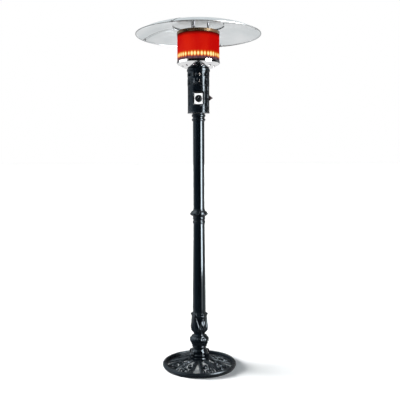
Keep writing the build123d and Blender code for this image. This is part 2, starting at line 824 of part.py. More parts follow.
def reflector_disc():
    """Crowned centre disc, spun from sheet."""
    x, y, size = DISC_ARC
    edge = on_arc(DISC_ARC, DISC_RADIUS)
    edge_low = on_arc(DISC_ARC, DISC_RADIUS, -SHEET)
    middle = on_arc(DISC_ARC, DISC_RADIUS / 2)
    middle_low = on_arc(DISC_ARC, DISC_RADIUS / 2, -SHEET)
    disc = turned(outline(
        (0, y + size - SHEET),
        (middle_low, edge_low),
        edge,
        (middle, (0, y + size)),
    ))
    for hole in stud_holes() + seam_screw_holes(SEAM_SCREW_RADII[0]):
        disc -= hole
    return disc


def petal_blank():
    """One quarter of the skirt from 0 degrees: the sheet, its rolled lip and the joggled lap."""
    span = 360 / PETALS
    outer = LIP_CIRCLE - 1
    skin = sheet_section(PETAL_ARC, PETAL_INNER, outer, -SHEET, 0)
    both = sheet_section(PETAL_ARC, DISC_RADIUS + 3, outer - 1, -SHEET, SHEET + GAP)
    lap = sheet_section(PETAL_ARC, DISC_RADIUS + 3, outer - 1, GAP, SHEET + GAP)
    lip = Plane.XZ * (Pos(LIP_CIRCLE, RIM_Z) * Circle(LIP_RADIUS))
    plain = span - 0.6
    blank = turned(skin, plain) + turned(lip, plain)
    blank += Rot(0, 0, plain - 0.7) * turned(both, 0.7)
    return blank + Rot(0, 0, plain - 0.7) * turned(lap, SEAM_LAP + 1.3)


def reflector_petal(index):
    turn = SEAM_TURN + 360 / PETALS * index
    petal = Rot(0, 0, turn) * petal_blank()
    for radius in SEAM_SCREW_RADII:
        for hole in seam_screw_holes(radius):
            petal -= hole
    return petal


def seam_screws():
    """Screws through the laps, one at the disc edge and one at the rim of each seam."""
    screws = []
    for radius in SEAM_SCREW_RADII:
        arc = DISC_ARC if radius < DISC_RADIUS else PETAL_ARC
        lift = 0.1 if radius < DISC_RADIUS else SHEET + 2 * GAP
        for i in range(PETALS):
            turn = SEAM_TURN + 360 / PETALS * i + SEAM_SCREW_TURN
            screws.append(seat(arc, radius, turn, lift) * pan_screw(2, 4, 11, 2.2))
    return screws


def seam_nuts():
    """Nuts under the laps."""
    nuts = []
    for radius in SEAM_SCREW_RADII:
        arc = DISC_ARC if radius < DISC_RADIUS else PETAL_ARC
        drop = -6.6 if radius < DISC_RADIUS else -SHEET - 0.1
        for i in range(PETALS):
            turn = SEAM_TURN + 360 / PETALS * i + SEAM_SCREW_TURN
            nuts.append(seat(arc, radius, turn, drop) * hex_nut(7, 2.1, -3.2, 0))
    return nuts


def reflector_spacers():
    top = on_arc(DISC_ARC, STUD_CIRCLE + SPACER_RADIUS + 1, -SHEET)[1] - GAP
    spacer = tube(SPACER_RADIUS, 3.2, DRUM_TOP, top)
    return around(Pos(STUD_CIRCLE, 0, 0) * spacer, STUDS, STUD_TURN)


def reflector_bolts():
    low = DRUM_TOP - 3.1
    head = hex_bar(10, low - 4, low)
    bolt = head + drum(3, low - 0.5, RIM_Z + DOME_HEIGHT)
    return around(Pos(STUD_CIRCLE, 0, 0) * bolt, STUDS, STUD_TURN)


def reflector_nuts():
    """Closed nuts on top of the disc."""
    low = on_arc(DISC_ARC, STUD_CIRCLE - 6)[1] + GAP
    nut = hex_bar(10, low, low + 4)
    nut += Pos(0, 0, low + 1.6) * (Sphere(4.6) & drum(6, 0, 6))
    nut -= drum(3.1, low - 1, RIM_Z + DOME_HEIGHT + 0.1)
    return around(Pos(STUD_CIRCLE, 0, 0) * nut, STUDS, STUD_TURN)


# ---------------------------------------------------------------- write the nodes
NODES = [
    base_casting, glide_pads, foot_casting, gas_inlet_coupling, gas_riser_pipe, clamp_washers,
    clamp_nuts, vase_casting, lower_pole, pole_sleeve, mid_collar, collar_set_screws,
    upper_pole, upper_collar, housing_base_plate, housing_screws, control_housing,
    housing_top_cap, control_recess, tray_screws, control_plate, valve_bracket, gas_valve_body,
    valve_stem, valve_plunger, valve_spring, control_knob, igniter_button, igniter_body,
    igniter_bezel, igniter_wire, igniter_electrode, pilot_tube, thermocouple, pilot_burner,
    pilot_bracket, orifice_fitting, venturi_tube, air_shutter, burner_pan, burner_legs,
    dish_bolts, tilt_switch, burner_dish, lower_band, emitter_screen, drum_screws,
    emitter_top_plate, reflector_disc, seam_screws, seam_nuts, reflector_spacers,
    reflector_bolts, reflector_nuts,
]

for node in NODES:
    save(node(), node.__name__)

for number in range(PETALS):
    save(reflector_petal(number), f"reflector_petal_{number + 1}")
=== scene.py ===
import json
import math

import bmesh
import bpy
import numpy as np
from mathutils import Euler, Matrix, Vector


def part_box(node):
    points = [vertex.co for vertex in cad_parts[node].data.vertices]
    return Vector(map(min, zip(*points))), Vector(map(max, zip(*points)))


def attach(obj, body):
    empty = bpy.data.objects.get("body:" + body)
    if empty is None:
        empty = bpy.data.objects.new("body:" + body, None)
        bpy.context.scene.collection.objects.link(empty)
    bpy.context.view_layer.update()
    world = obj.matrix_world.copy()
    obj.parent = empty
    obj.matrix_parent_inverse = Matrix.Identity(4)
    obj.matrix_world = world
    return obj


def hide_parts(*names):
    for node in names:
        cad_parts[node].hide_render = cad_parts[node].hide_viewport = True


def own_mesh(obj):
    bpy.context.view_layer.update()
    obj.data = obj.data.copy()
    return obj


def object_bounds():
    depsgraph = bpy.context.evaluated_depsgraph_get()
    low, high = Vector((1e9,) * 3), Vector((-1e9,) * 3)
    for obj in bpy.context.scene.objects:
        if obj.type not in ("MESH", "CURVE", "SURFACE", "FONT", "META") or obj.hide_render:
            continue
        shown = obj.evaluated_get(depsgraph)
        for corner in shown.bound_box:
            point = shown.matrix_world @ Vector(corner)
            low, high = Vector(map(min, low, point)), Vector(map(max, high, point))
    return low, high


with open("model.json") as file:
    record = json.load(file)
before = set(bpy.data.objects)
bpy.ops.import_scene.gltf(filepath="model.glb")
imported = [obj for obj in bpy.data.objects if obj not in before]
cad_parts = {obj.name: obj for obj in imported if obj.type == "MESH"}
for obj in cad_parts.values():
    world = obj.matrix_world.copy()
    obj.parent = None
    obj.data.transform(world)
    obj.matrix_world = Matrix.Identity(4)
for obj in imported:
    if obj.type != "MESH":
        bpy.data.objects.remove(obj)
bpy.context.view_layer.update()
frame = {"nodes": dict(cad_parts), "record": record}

# The looks of a free-standing gas patio heater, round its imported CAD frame. Metres, +Z up,
# -Y is the control side. The cast pieces are rebuilt with their relief, the emitter screen
# with its perforation, and every other CAD node gets its finish.

MM = 0.001
BODY = "heater"
FULL = 2 * math.pi


# ------------------------------------------------ mesh helpers
class Shape:
    """Points and faces of one piece, gathered from several closed surfaces."""

    def __init__(self):
        self.points = []
        self.faces = []

    def add(self, points, faces):
        first = len(self.points)
        self.points.extend(tuple(map(float, p)) for p in points)
        self.faces.extend(tuple(first + i for i in face) for face in faces)

    def grid(self, rows, loop_rows=False, caps=False):
        """A surface from an array of closed rings. Its ends are joined, capped or left open."""
        rows = np.asarray(rows, float)
        count, around = rows.shape[:2]
        faces = []
        for i in range(count if loop_rows else count - 1):
            low, high = i * around, (i + 1) % count * around
            for j in range(around):
                k = (j + 1) % around
                faces.append((low + j, low + k, high + k, high + j))
        if caps:
            faces.append(tuple(reversed(range(around))))
            faces.append(tuple((count - 1) * around + j for j in range(around)))
        self.add(rows.reshape(-1, 3), faces)

    def piece(self, name, material, body=BODY, slot=None, replaces=(), sharp=40):
        mesh = bpy.data.meshes.new(name)
        mesh.from_pydata(self.points, [], self.faces)
        shade(mesh, sharp)
        mesh.materials.append(material)
        obj = bpy.data.objects.new(name, mesh)
        bpy.context.scene.collection.objects.link(obj)
        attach(obj, body)
        if replaces:
            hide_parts(*replaces)
        return obj


def shade(mesh, sharp):
    """Outward normals, and smooth shading with hard edges over an angle in degrees."""
    work = bmesh.new()
    work.from_mesh(mesh)
    bmesh.ops.recalc_face_normals(work, faces=work.faces)
    for face in work.faces:
        face.smooth = True
    for edge in work.edges:
        if len(edge.link_faces) == 2:
            edge.smooth = edge.calc_face_angle(0) < math.radians(sharp)
    work.to_mesh(mesh)
    work.free()


def smooth(points, steps=8):
    """A curve through the points, as a row of closer points."""
    p = np.asarray(points, float)
    if len(p) == 2:
        return p
    p = np.vstack([2 * p[0] - p[1], p, 2 * p[-1] - p[-2]])
    t = np.linspace(0, 1, steps, endpoint=False)[:, None]
    spans = []
    for a, b, c, d in zip(p, p[1:], p[2:], p[3:]):
        spans.append(0.5 * (2 * b + (c - a) * t + (2 * a - 5 * b + 4 * c - d) * t ** 2
                            + (3 * b - a - 3 * c + d) * t ** 3))
    return np.vstack(spans + [p[-2:-1]])


def section(*curves):
    """Closed section in radius and height, from several curves in millimetres."""
    return np.vstack([smooth(c) for c in curves]) * MM


def turned(outline, around=128, relief=None):
    """Rings of a turned form. relief(angle, radius, height) pushes its skin outward."""
    angle = np.linspace(0, FULL, around, endpoint=False)
    rings = []
    for radius, height in outline:
        push = relief(angle, radius, height) if relief else 0
        reach = radius + push
        rings.append(np.stack([reach * np.cos(angle), reach * np.sin(angle),
                               np.full(around, height)], axis=1))
    return np.array(rings)


def ease(value, low, high):
    """0 below low, 1 above high, and smooth between them."""
    t = np.clip((value - low) / (high - low), 0, 1)
    return t * t * (3 - 2 * t)


def ball(centre, radius, flat=1.0, rings=10, around=16):
    """Rings of a sphere, squeezed in height by flat."""
    tilt = np.linspace(-math.pi / 2 + 0.05, math.pi / 2 - 0.05, rings)
    angle = np.linspace(0, FULL, around, endpoint=False)
    x = radius * np.cos(tilt)[:, None] * np.cos(angle)
    y = radius * np.cos(tilt)[:, None] * np.sin(angle)
    z = np.repeat(radius * flat * np.sin(tilt)[:, None], around, axis=1)
    return np.stack([x, y, z], axis=2) + np.asarray(centre)


def heights(node):
    """Lowest and highest point of a CAD node in millimetres."""
    return (corner.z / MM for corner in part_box(node))


def casting(outline, around, relief=None):
    """A new Shape with one closed turned surface."""
    shape = Shape()
    shape.grid(turned(outline, around, relief), loop_rows=True)
    return shape


def spin(points, angle):
    """Points turned about Z by an angle in radians."""
    p = np.asarray(points, float)
    c, s = math.cos(angle), math.sin(angle)
    return np.stack([p[..., 0] * c - p[..., 1] * s, p[..., 0] * s + p[..., 1] * c, p[..., 2]],
                    axis=-1)


# ------------------------------------------------ materials
DISC_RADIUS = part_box("reflector_disc")[1].x
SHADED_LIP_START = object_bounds()[1][0] - 6 * MM
# The petals' laps end at 68 degrees and at each quarter turn from there.
SEAM_PHASE = math.radians(90 - 68)
GLOSS_TINT = (0.78, 0.91, 1.0, 1)


class Nodes:
    """Short calls for the nodes of one tree. place is the position that its patterns follow."""

    def __init__(self, tree, coordinates):
        self.tree = tree
        self.place = self.node("ShaderNodeTexCoord").outputs[coordinates]

    def node(self, kind, **settings):
        made = self.tree.nodes.new(kind)
        for key, value in settings.items():
            setattr(made, key, value)
        return made

    def link(self, source, target):
        self.tree.links.new(source, target)

    def axes(self):
        """The place's three coordinates."""
        split = self.node("ShaderNodeSeparateXYZ")
        self.link(self.place, split.inputs["Vector"])
        return tuple(split.outputs)

    def ramp(self, value, stops):
        """Colours along a value, as (place, colour) pairs."""
        ramp = self.node("ShaderNodeValToRGB")
        band = ramp.color_ramp
        while len(band.elements) < len(stops):
            band.elements.new(0.5)
        for element, (place, colour) in zip(band.elements, stops):
            element.position = place
            element.color = (*colour, 1)
        self.link(value, ramp.inputs["Fac"])
        return ramp.outputs["Color"]

    def spread(self, value, low, high, inside=(0.3, 0.7)):
        """The value spread over a range."""
        spread = self.node("ShaderNodeMapRange")
        spread.inputs["From Min"].default_value = inside[0]
        spread.inputs["From Max"].default_value = inside[1]
        spread.inputs["To Min"].default_value = low
        spread.inputs["To Max"].default_value = high
        self.link(value, spread.inputs["Value"])
        return spread.outputs["Result"]

    def math(self, operation, first, second=None):
        made = self.node("ShaderNodeMath", operation=operation)
        for socket, value in zip(made.inputs, (first, second)):
            if value is None:
                continue
            if isinstance(value, (int, float)):
                socket.default_value = value
            else:
                self.link(value, socket)
        return made.outputs["Value"]

    def reach(self, x, y):
        """Distance from the Z axis."""
        return self.math("SQRT", self.math("ADD", self.math("MULTIPLY", x, x),
                                           self.math("MULTIPLY", y, y)))

    def azimuth(self, x, y):
        """Angle in radians from the front towards the right."""
        return self.math("ARCTAN2", x, self.math("MULTIPLY", y, -1.0))

    def mix(self, blend, first, second, share=1.0):
        """Two colours mixed."""
        mix = self.node("ShaderNodeMix", data_type="RGBA", blend_type=blend)
        if isinstance(share, float):
            mix.inputs["Factor"].default_value = share
        else:
            self.link(share, mix.inputs["Factor"])
        self.link(first, mix.inputs["A"])
        self.link(second, mix.inputs["B"])
        return mix.outputs["Result"]

    def choose(self, ray, other, chosen):
        """One shader for rays of a kind, such as Is Glossy Ray, and another for the rest."""
        mix = self.node("ShaderNodeMixShader")
        self.link(self.node("ShaderNodeLightPath").outputs[ray], mix.inputs["Fac"])
        self.link(other, mix.inputs[1])
        self.link(chosen, mix.inputs[2])
        return mix.outputs["Shader"]


class Finish(Nodes):
    """A material under construction, round its Principled shader."""

    def __init__(self, name, colour, rough, metal=0.0):
        self.material = bpy.data.materials.new(name)
        self.material.use_nodes = True
        super().__init__(self.material.node_tree, "Object")
        self.shader = self.tree.nodes["Principled BSDF"]
        self.set("Base Color", (*colour, 1))
        self.set("Roughness", rough)
        self.set("Metallic", metal)

    def set(self, socket, value):
        self.shader.inputs[socket].default_value = value

    def noise(self, scale, detail=3.0, stretch=(1, 1, 1)):
        """Noise from 0 to 1, finer with scale, stretched along an axis by a smaller factor."""
        mapping = self.node("ShaderNodeMapping")
        mapping.inputs["Scale"].default_value = stretch
        self.link(self.place, mapping.inputs["Vector"])
        texture = self.node("ShaderNodeTexNoise")
        texture.inputs["Scale"].default_value = scale
        texture.inputs["Detail"].default_value = detail
        self.link(mapping.outputs["Vector"], texture.inputs["Vector"])
        return texture.outputs["Fac"]

    def colour(self, value, dark, light):
        self.link(self.ramp(value, [(0.3, dark), (0.7, light)]), self.shader.inputs["Base Color"])
        return self

    def gloss(self, value, low, high):
        self.link(self.spread(value, low, high), self.shader.inputs["Roughness"])
        return self

    def bump(self, value, strength, depth=MM):
        bump = self.node("ShaderNodeBump")
        bump.inputs["Strength"].default_value = strength
        bump.inputs["Distance"].default_value = depth
        self.link(value, bump.inputs["Height"])
        self.link(bump.outputs["Normal"], self.shader.inputs["Normal"])
        return self


def cast_paint(name, rough):
    """Thick gloss black over sand casting: soft ripples and a faint blue cast."""
    made = Finish(name, (0.004, 0.005, 0.006), rough)
    made.set("Specular IOR Level", 0.3)
    made.set("Specular Tint", GLOSS_TINT)
    made.colour(made.noise(9), (0.0010, 0.0018, 0.0028), (0.0024, 0.0040, 0.0060))
    made.gloss(made.noise(45), rough - 0.05, rough + 0.05)
    return made.bump(made.noise(160, 4), 0.14, 0.3 * MM).material


def pole_paint():
    """Smooth gloss black on drawn tube."""
    made = Finish("pole_paint", (0.006, 0.009, 0.012), 0.12)
    made.set("Specular IOR Level", 0.38)
    made.set("Specular Tint", GLOSS_TINT)
    made.colour(made.noise(5, 2, (1, 1, 0.2)), (0.0014, 0.0024, 0.0036), (0.0026, 0.0044, 0.0064))
    made.gloss(made.noise(30, 3, (1, 1, 0.15)), 0.06, 0.12)
    return made.bump(made.noise(260, 2), 0.1, 0.08 * MM).material


def mirror_steel():
    """Polished stainless with faint turning marks and a little heat haze."""
    made = Finish("mirror_steel", (0.86, 0.87, 0.88), 0.05, 1.0)
    made.colour(made.noise(12), (0.80, 0.81, 0.83), (0.92, 0.92, 0.92))
    made.gloss(made.noise(35, 3, (1, 1, 6)), 0.03, 0.09)
    return made.bump(made.noise(14, 1), 0.05, 0.4 * MM).material


def satin_aluminium():
    """Spun and rolled sheet with slow waves. The rolled lip is painted darker, as painted shade for
    the rim's dark outline, and the laps are dark.
    """
    made = Finish("satin_aluminium", (0.80, 0.82, 0.83), 0.34, 1.0)
    sheet = made.ramp(made.noise(6), [(0.3, (0.72, 0.76, 0.775)), (0.7, (0.84, 0.86, 0.87))])
    x, y, _ = made.axes()
    reach = made.reach(x, y)
    angle = made.math("ADD", made.math("ARCTAN2", y, x), SEAM_PHASE)
    from_seam = made.math("MULTIPLY", made.math("PINGPONG", angle, math.pi / 4), reach)
    gap = made.spread(from_seam, 0.04, 1.0, (1.8 * MM, 3.0 * MM))
    plate = made.spread(reach, 1.0, 0.0, (DISC_RADIUS - MM, DISC_RADIUS + MM))
    # Painted shade: the outer 6 mm of the rolled lip is darkened to draw the rim's dark outline.
    lip = made.spread(reach, 1.0, 0.42, (SHADED_LIP_START, SHADED_LIP_START + 1.5 * MM))
    dim = made.math("MULTIPLY", made.math("MAXIMUM", gap, plate), lip)
    made.link(made.mix("MULTIPLY", sheet, dim), made.shader.inputs["Base Color"])
    made.gloss(made.noise(70, 4), 0.28, 0.42)
    return made.bump(made.noise(9, 2), 0.12, 2 * MM).material


def plain_steel(name, colour, rough=0.35):
    """Drawn, machined or plated metal with a fine grain along the height."""
    made = Finish(name, colour, rough, 1.0)
    dark = tuple(0.8 * c for c in colour)
    light = tuple(min(1, 1.12 * c) for c in colour)
    made.colour(made.noise(40), dark, light)
    made.gloss(made.noise(120, 3, (1, 1, 0.2)), rough - 0.1, rough + 0.12)
    return made.bump(made.noise(500, 2, (1, 1, 0.15)), 0.15, 0.05 * MM).material


def moulded(name, colour, rough, shine=0.5):
    """Moulded plastic, rubber or ceramic with a fine skin texture."""
    made = Finish(name, colour, rough)
    made.set("Specular IOR Level", shine)
    dark = tuple(0.75 * c for c in colour)
    light = tuple(min(1, 1.2 * c) for c in colour)
    made.colour(made.noise(60), dark, light)
    made.gloss(made.noise(90), rough - 0.08, rough + 0.08)
    return made.bump(made.noise(700, 2), 0.25, 0.08 * MM).material


def white_enamel():
    """The control plate: white enamel, a touch warmer and duller in patches."""
    made = Finish("white_enamel", (0.86, 0.87, 0.88), 0.3)
    made.set("Coat Weight", 0.3)
    made.colour(made.noise(30), (0.80, 0.81, 0.82), (0.92, 0.93, 0.94))
    made.gloss(made.noise(90), 0.22, 0.4)
    return made.bump(made.noise(400, 2), 0.1, 0.05 * MM).material


def bronzed_band():
    """Lid of the emitter: steel browned by the heat, from olive to bronze, with bright streaks."""
    made = Finish("bronzed_band", (0.20, 0.12, 0.06), 0.28, 0.85)
    made.colour(made.noise(9, 3, (1, 1, 0.3)), (0.045, 0.036, 0.018), (0.30, 0.17, 0.09))
    made.gloss(made.noise(40, 3), 0.2, 0.4)
    return made.bump(made.noise(220, 2, (1, 1, 0.3)), 0.12, 0.1 * MM).material


def flame_glow():
    """Small gas flames, from orange to pale yellow."""
    made = Finish("flame", (0.05, 0.01, 0.01), 0.5)
    colours = made.ramp(made.noise(30), [(0.3, (1.0, 0.45, 0.06)), (0.7, (1.0, 0.85, 0.45))])
    made.link(colours, made.shader.inputs["Emission Color"])
    made.set("Emission Strength", 3.0)
    return made.material


# ------------------------------------------------ base and foot
BASE_LOW, BASE_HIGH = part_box("base_casting")
HUB_TOP = BASE_HIGH.z
RIM_RADIUS = BASE_HIGH.x
RIM_INNER = RIM_RADIUS - 33 * MM
HUB_RADIUS = 74 * MM
BASE_TURN = math.radians(-96)
# Plan millimetres from a quarter's diagonal: stem, centre, radius, first angle, turns, width.
SCROLLS = (
    ([(72, 15), (100, 9), (132, 10)], (172, 52), 34, -100, 1.45, 12),
    ([(68, 40), (84, 51)], (119, 49), 22, 165, -1.3, 10),
    ([(146, 80), (157, 84)], (169, 100), 14.5, -90, 1.15, 8),
    ([(176, 1), (185, 0)], (201, 13.5), 13.5, -115, 1.15, 8),
)
RIB = [(68, 10), (92, 11), (116, 18), (168, 30), (222, 42)]


def web_height(radius):
    """Top of the cone that carries the scrollwork."""
    share = (radius - HUB_RADIUS) / (RIM_INNER - HUB_RADIUS)
    return HUB_TOP - (2 + 48 * share) * MM


def bar(shape, path, width, height, turn, groove):
    """A rounded bar along a plan curve on the cone. Width and height follow its length."""
    path = np.asarray(path)
    count = len(path)
    along = np.gradient(path, axis=0)
    along /= np.linalg.norm(along, axis=1)[:, None]
    side = np.stack([-along[:, 1], along[:, 0]], axis=1)
    width = np.broadcast_to(width, count)
    height = np.broadcast_to(height, count)
    across = np.array([-1, -0.94, -0.72, -0.38, 0, 0.38, 0.72, 0.94, 1])
    crown = np.sqrt(np.clip(1 - across ** 2 * 0.96, 0, 1)) - groove * np.exp(-(across / 0.2) ** 2)
    rings = []
    for i in range(count):
        plan = path[i] + side[i] * (across * width[i] / 2)[:, None]
        top = web_height(np.hypot(*plan.T)) + height[i] * (crown - 0.55)
        ring = np.column_stack([plan, top])
        under = ring[[-1, 0]].copy()
        under[:, 2] = np.maximum(under[:, 2] - 7 * MM, BASE_LOW.z)
        rings.append(np.vstack([ring, under]))
    shape.grid(spin(rings, turn), caps=True)


def leaf(shape, start, end, width, height, turn, lobes):
    """A raised leaf between two plan points in millimetres: lobed edges and a sunk midrib."""
    start, end = np.asarray(start) * MM, np.asarray(end) * MM
    line = end - start
    side = np.array([-line[1], line[0]]) / np.linalg.norm(line)
    across = np.linspace(-1, 1, 15)
    rings = []
    for t in np.linspace(0, 1, 48):
        body = math.sin(math.pi * min(1, 0.05 + 0.95 * t) ** 0.8) ** 0.8
        wave = (lobes * t) % 1
        edge = 0.72 + 0.34 * math.sin(math.pi * wave) ** 0.6
        half = max(0.03, body * edge) * width * MM / 2
        sweep = 5 * MM * (across ** 2) * body
        plan = start + line * t + np.outer(sweep, line / np.linalg.norm(line)) \
            + side * (across * half)[:, None]
        vein = 0.5 * np.exp(-(across / 0.12) ** 2)
        cup = 1 - 0.55 * across ** 2 + 0.25 * np.exp(-((np.abs(across) - 0.72) / 0.16) ** 2)
        rise = height * MM * (0.3 + 0.7 * body) * (cup - vein)
        top = web_height(np.hypot(*plan.T)) + rise - 3 * MM
        ring = np.column_stack([plan, top])
        under = ring[[-1, 0]].copy()
        under[:, 2] = np.maximum(under[:, 2] - 5 * MM, BASE_LOW.z)
        rings.append(np.vstack([ring, under]))
    shape.grid(spin(rings, turn), caps=True)


def scroll(shape, stem, centre, radius, first, turns, width, turn, side):
    """A stem that runs into a spiral and ends in a round eye. Plan millimetres.

    First is the angle in degrees where the stem meets the spiral. Negative turns wind clockwise.
    """
    share = np.linspace(0, 1, 46)
    angle = math.radians(first) + FULL * turns * share
    reach = radius * (1 - 0.74 * share ** 0.9)
    spiral = np.stack([centre[0] + reach * np.cos(angle), centre[1] + reach * np.sin(angle)], axis=1)
    path = np.vstack([smooth(list(stem) + [spiral[0], spiral[2]], 7)[:-8], spiral]) * MM * (1, side)
    along = np.linspace(0, 1, len(path))
    bar(shape, path, width * MM * (1 - 0.42 * along), 9 * MM * (1 - 0.25 * along), turn, 0.3)
    x, y = centre[0] * MM, centre[1] * MM * side
    eye = spin([(x, y, web_height(math.hypot(x, y)) - MM)], turn)[0]
    shape.grid(ball(eye, max(0.2 * radius, 3.6) * MM), caps=True)


def base_sector(shape, turn):
    """One quarter of the openwork: a rib pair, then scrolls and leaves round the diagonal."""
    middle = turn + math.pi / 4
    for side in (-1, 1):
        bar(shape, smooth(RIB, 6) * MM * (1, side), 21 * MM, 8 * MM, turn, 0.25)
        for stem, centre, radius, first, turns, width in SCROLLS:
            scroll(shape, stem, centre, 0.94 * radius, first, turns, 0.86 * width, middle, side)
        leaf(shape, (110, side * 12), (150, side * 34), 17, 7, middle, 2)
        leaf(shape, (200, side * 56), (194, side * 98), 17, 6, middle, 3)
        leaf(shape, (126, side * 74), (152, side * 100), 14, 6, middle, 2)
    leaf(shape, (78, 0), (186, 0), 30, 10, middle, 4)


def base_rim(shape):
    """The rim: a flared wall, a rounded step and a sunk inner edge."""
    low = BASE_LOW.z / MM
    outer = RIM_RADIUS / MM
    inner = RIM_INNER / MM
    shape.grid(turned(section(
        [(inner, low), (outer - 10, low)],
        [(outer - 8.5, low + 0.5), (outer - 5, low + 6), (outer - 1.4, low + 13), (outer, low + 19)],
        [(outer - 0.4, low + 21.5), (outer - 2.4, low + 23), (outer - 3.2, low + 25)],
        [(outer - 3.6, low + 27), (outer - 6, low + 30.6), (outer - 11, low + 32)],
        [(outer - 14, low + 31.8), (outer - 18, low + 31), (outer - 21, low + 28.6)],
        [(outer - 22, low + 26), (outer - 22.6, low + 14)],
        [(outer - 23.4, low + 11.6), (outer - 26, low + 11), (inner, low + 10)],
    ), 224), loop_rows=True)


def base_hub(shape):
    """The raised ring that the foot stands on."""
    high = HUB_TOP / MM
    shape.grid(turned(section(
        [(13, high - 12), (70, high - 12)],
        [(76, high - 11), (79, high - 6), (76, high - 2.5)],
        [(70, high - 1), (64, high)],
        [(60, high), (13, high)],
    ), 128), loop_rows=True)


def make_base(material):
    """The pierced base: rim, hub and four quarters of scrollwork."""
    shape = Shape()
    base_rim(shape)
    base_hub(shape)
    for quarter in range(4):
        base_sector(shape, BASE_TURN + quarter * math.pi / 2)
    shape.piece("pierced_base", material, slot="cast_black", replaces=["base_casting"])


GADROONS = 20


def foot_relief(angle, radius, height):
    """Gadroons on the knuckle's lower half, and small beads on its shoulder."""
    z = height / MM
    lower = ease(z, 154, 162) * (1 - ease(z, 187, 191))
    upper = ease(z, 193, 196) * (1 - ease(z, 207, 211))
    lobe = np.abs(np.cos(GADROONS / 2 * angle)) ** 0.7
    bead = np.abs(np.sin(GADROONS / 2 * angle))
    return (lower * (lobe * 4.2 - 3.4) + upper * (bead * 2 - 1.4)) * MM


def volute_bracket(shape, turn):
    """A scroll that leaves the foot's shoulder and winds down to an eye beside the hub."""
    path = smooth([
        (47, 122), (56, 115.5), (68, 108.5), (80, 103), (87, 92.5), (84, 80.5), (74.5, 75.5),
        (65, 78.5), (61, 87.5), (64.5, 95.5), (72, 98), (78.5, 93), (78, 86.5), (73, 84)], 4) * MM
    half = 8 * MM
    rings = []
    for i, (point, along) in enumerate(zip(path, np.gradient(path, axis=0))):
        normal = np.array([-along[1], along[0]]) / np.linalg.norm(along)
        thick = (4.2 - 2.2 * i / len(path)) * MM
        ring = []
        for across, depth in ((1, 0.8), (0.6, 1), (-0.6, 1), (-1, 0.8),
                              (-1, -0.8), (-0.6, -1), (0.6, -1), (1, -0.8)):
            spot = point + normal * across * thick
            ring.append((spot[0], depth * half, spot[1]))
        rings.append(ring)
    shape.grid(spin(rings, turn), caps=True)
    eye = ball((0, 0, 0), 4.6 * MM, 2.0)
    eye = eye[..., [0, 2, 1]] + np.array([73.5, 0, 90.5]) * MM
    shape.grid(spin(eye, turn), caps=True)


def make_foot(material):
    """The foot: mouldings, a gadrooned knuckle and four scroll brackets."""
    low, high = heights("foot_casting")
    outline = section(
        [(30, low), (64, low)],
        [(66, low + 0.5), (69.5, low + 6), (66, low + 12)],
        [(61.5, low + 13.5), (61, low + 18)],
        [(61.5, low + 20), (64.5, low + 27), (60, low + 33)],
        [(56.5, low + 35), (56, low + 39), (57.5, low + 43), (56.5, low + 48), (53.8, low + 54)],
        [(52, low + 57), (47, low + 64), (45.8, low + 71)],
        [(46, low + 77), (49.4, low + 80), (50, low + 84), (48.5, low + 87)],
        [(49, low + 89), (53.5, low + 95), (58, low + 106), (62.5, low + 116), (65, low + 124),
         (65.6, low + 129)],
        [(65.4, low + 131), (65, low + 136), (61.7, low + 142), (55.6, low + 148.5)],
        [(53, low + 151), (51, low + 156), (46.5, low + 158)],
        [(42, low + 159), (39, low + 163), (38, high)],
        [(34, high), (30, high)],
    )
    shape = casting(outline, 320, foot_relief)
    for quarter in range(4):
        volute_bracket(shape, math.pi / 4 + quarter * math.pi / 2)
    shape.piece("gadrooned_foot", material, slot="cast_black", replaces=["foot_casting"])


# ------------------------------------------------ post
BEADS = 6
LEAVES_LOW, LEAVES_TALL = 240, 112      # millimetres
POLE_HEAD_RADIUS = 38.4
EGGS = 14
EGG_Z = 1053


def vase_relief(angle, radius, height):
    """Six tall leaves with rolled edges, midribs and curled feet, and small leaves between."""
    z = height / MM
    t = np.clip((z - LEAVES_LOW) / LEAVES_TALL, 0, 1)
    pitch = FULL / BEADS
    around = (angle + pitch / 2) % pitch - pitch / 2
    half = 0.5 * math.sin(math.pi * min(1, t + 0.04) ** 0.62) ** 0.8 + 0.02
    across = np.abs(around) / half
    inside = 1 - ease(across, 0.86, 1.04)
    rolled = np.exp(-((across - 0.82) / 0.13) ** 2)
    midrib = np.exp(-(around / 0.05) ** 2)
    side_veins = np.cos(16 * t - 7 * across) * (1 - across).clip(0, 1)
    tall = inside * (1.6 + 1.5 * rolled + 1.3 * midrib + 0.7 * side_veins) * ease(t, 0.0, 0.08)
    tall = tall * (1 - ease(t, 0.93, 1.0))
    between = (angle % pitch) - pitch / 2
    low_t = np.clip((z - LEAVES_LOW) / 50, 0, 1)
    small_half = 0.2 * math.sin(math.pi * min(1, low_t + 0.05) ** 0.7) + 0.005
    small = (1 - ease(np.abs(between) / small_half, 0.8, 1.05)) * 2.2 * (1 - ease(low_t, 0.9, 1.0))
    curl_foot = np.exp(-((z - LEAVES_LOW - 22) / 7) ** 2) * np.exp(-((across - 0.6) / 0.3) ** 2) * 1.6
    return (tall + small + curl_foot - 2.2 * ease(t, 0.0, 0.1) * (1 - ease(t, 0.9, 1))) * MM


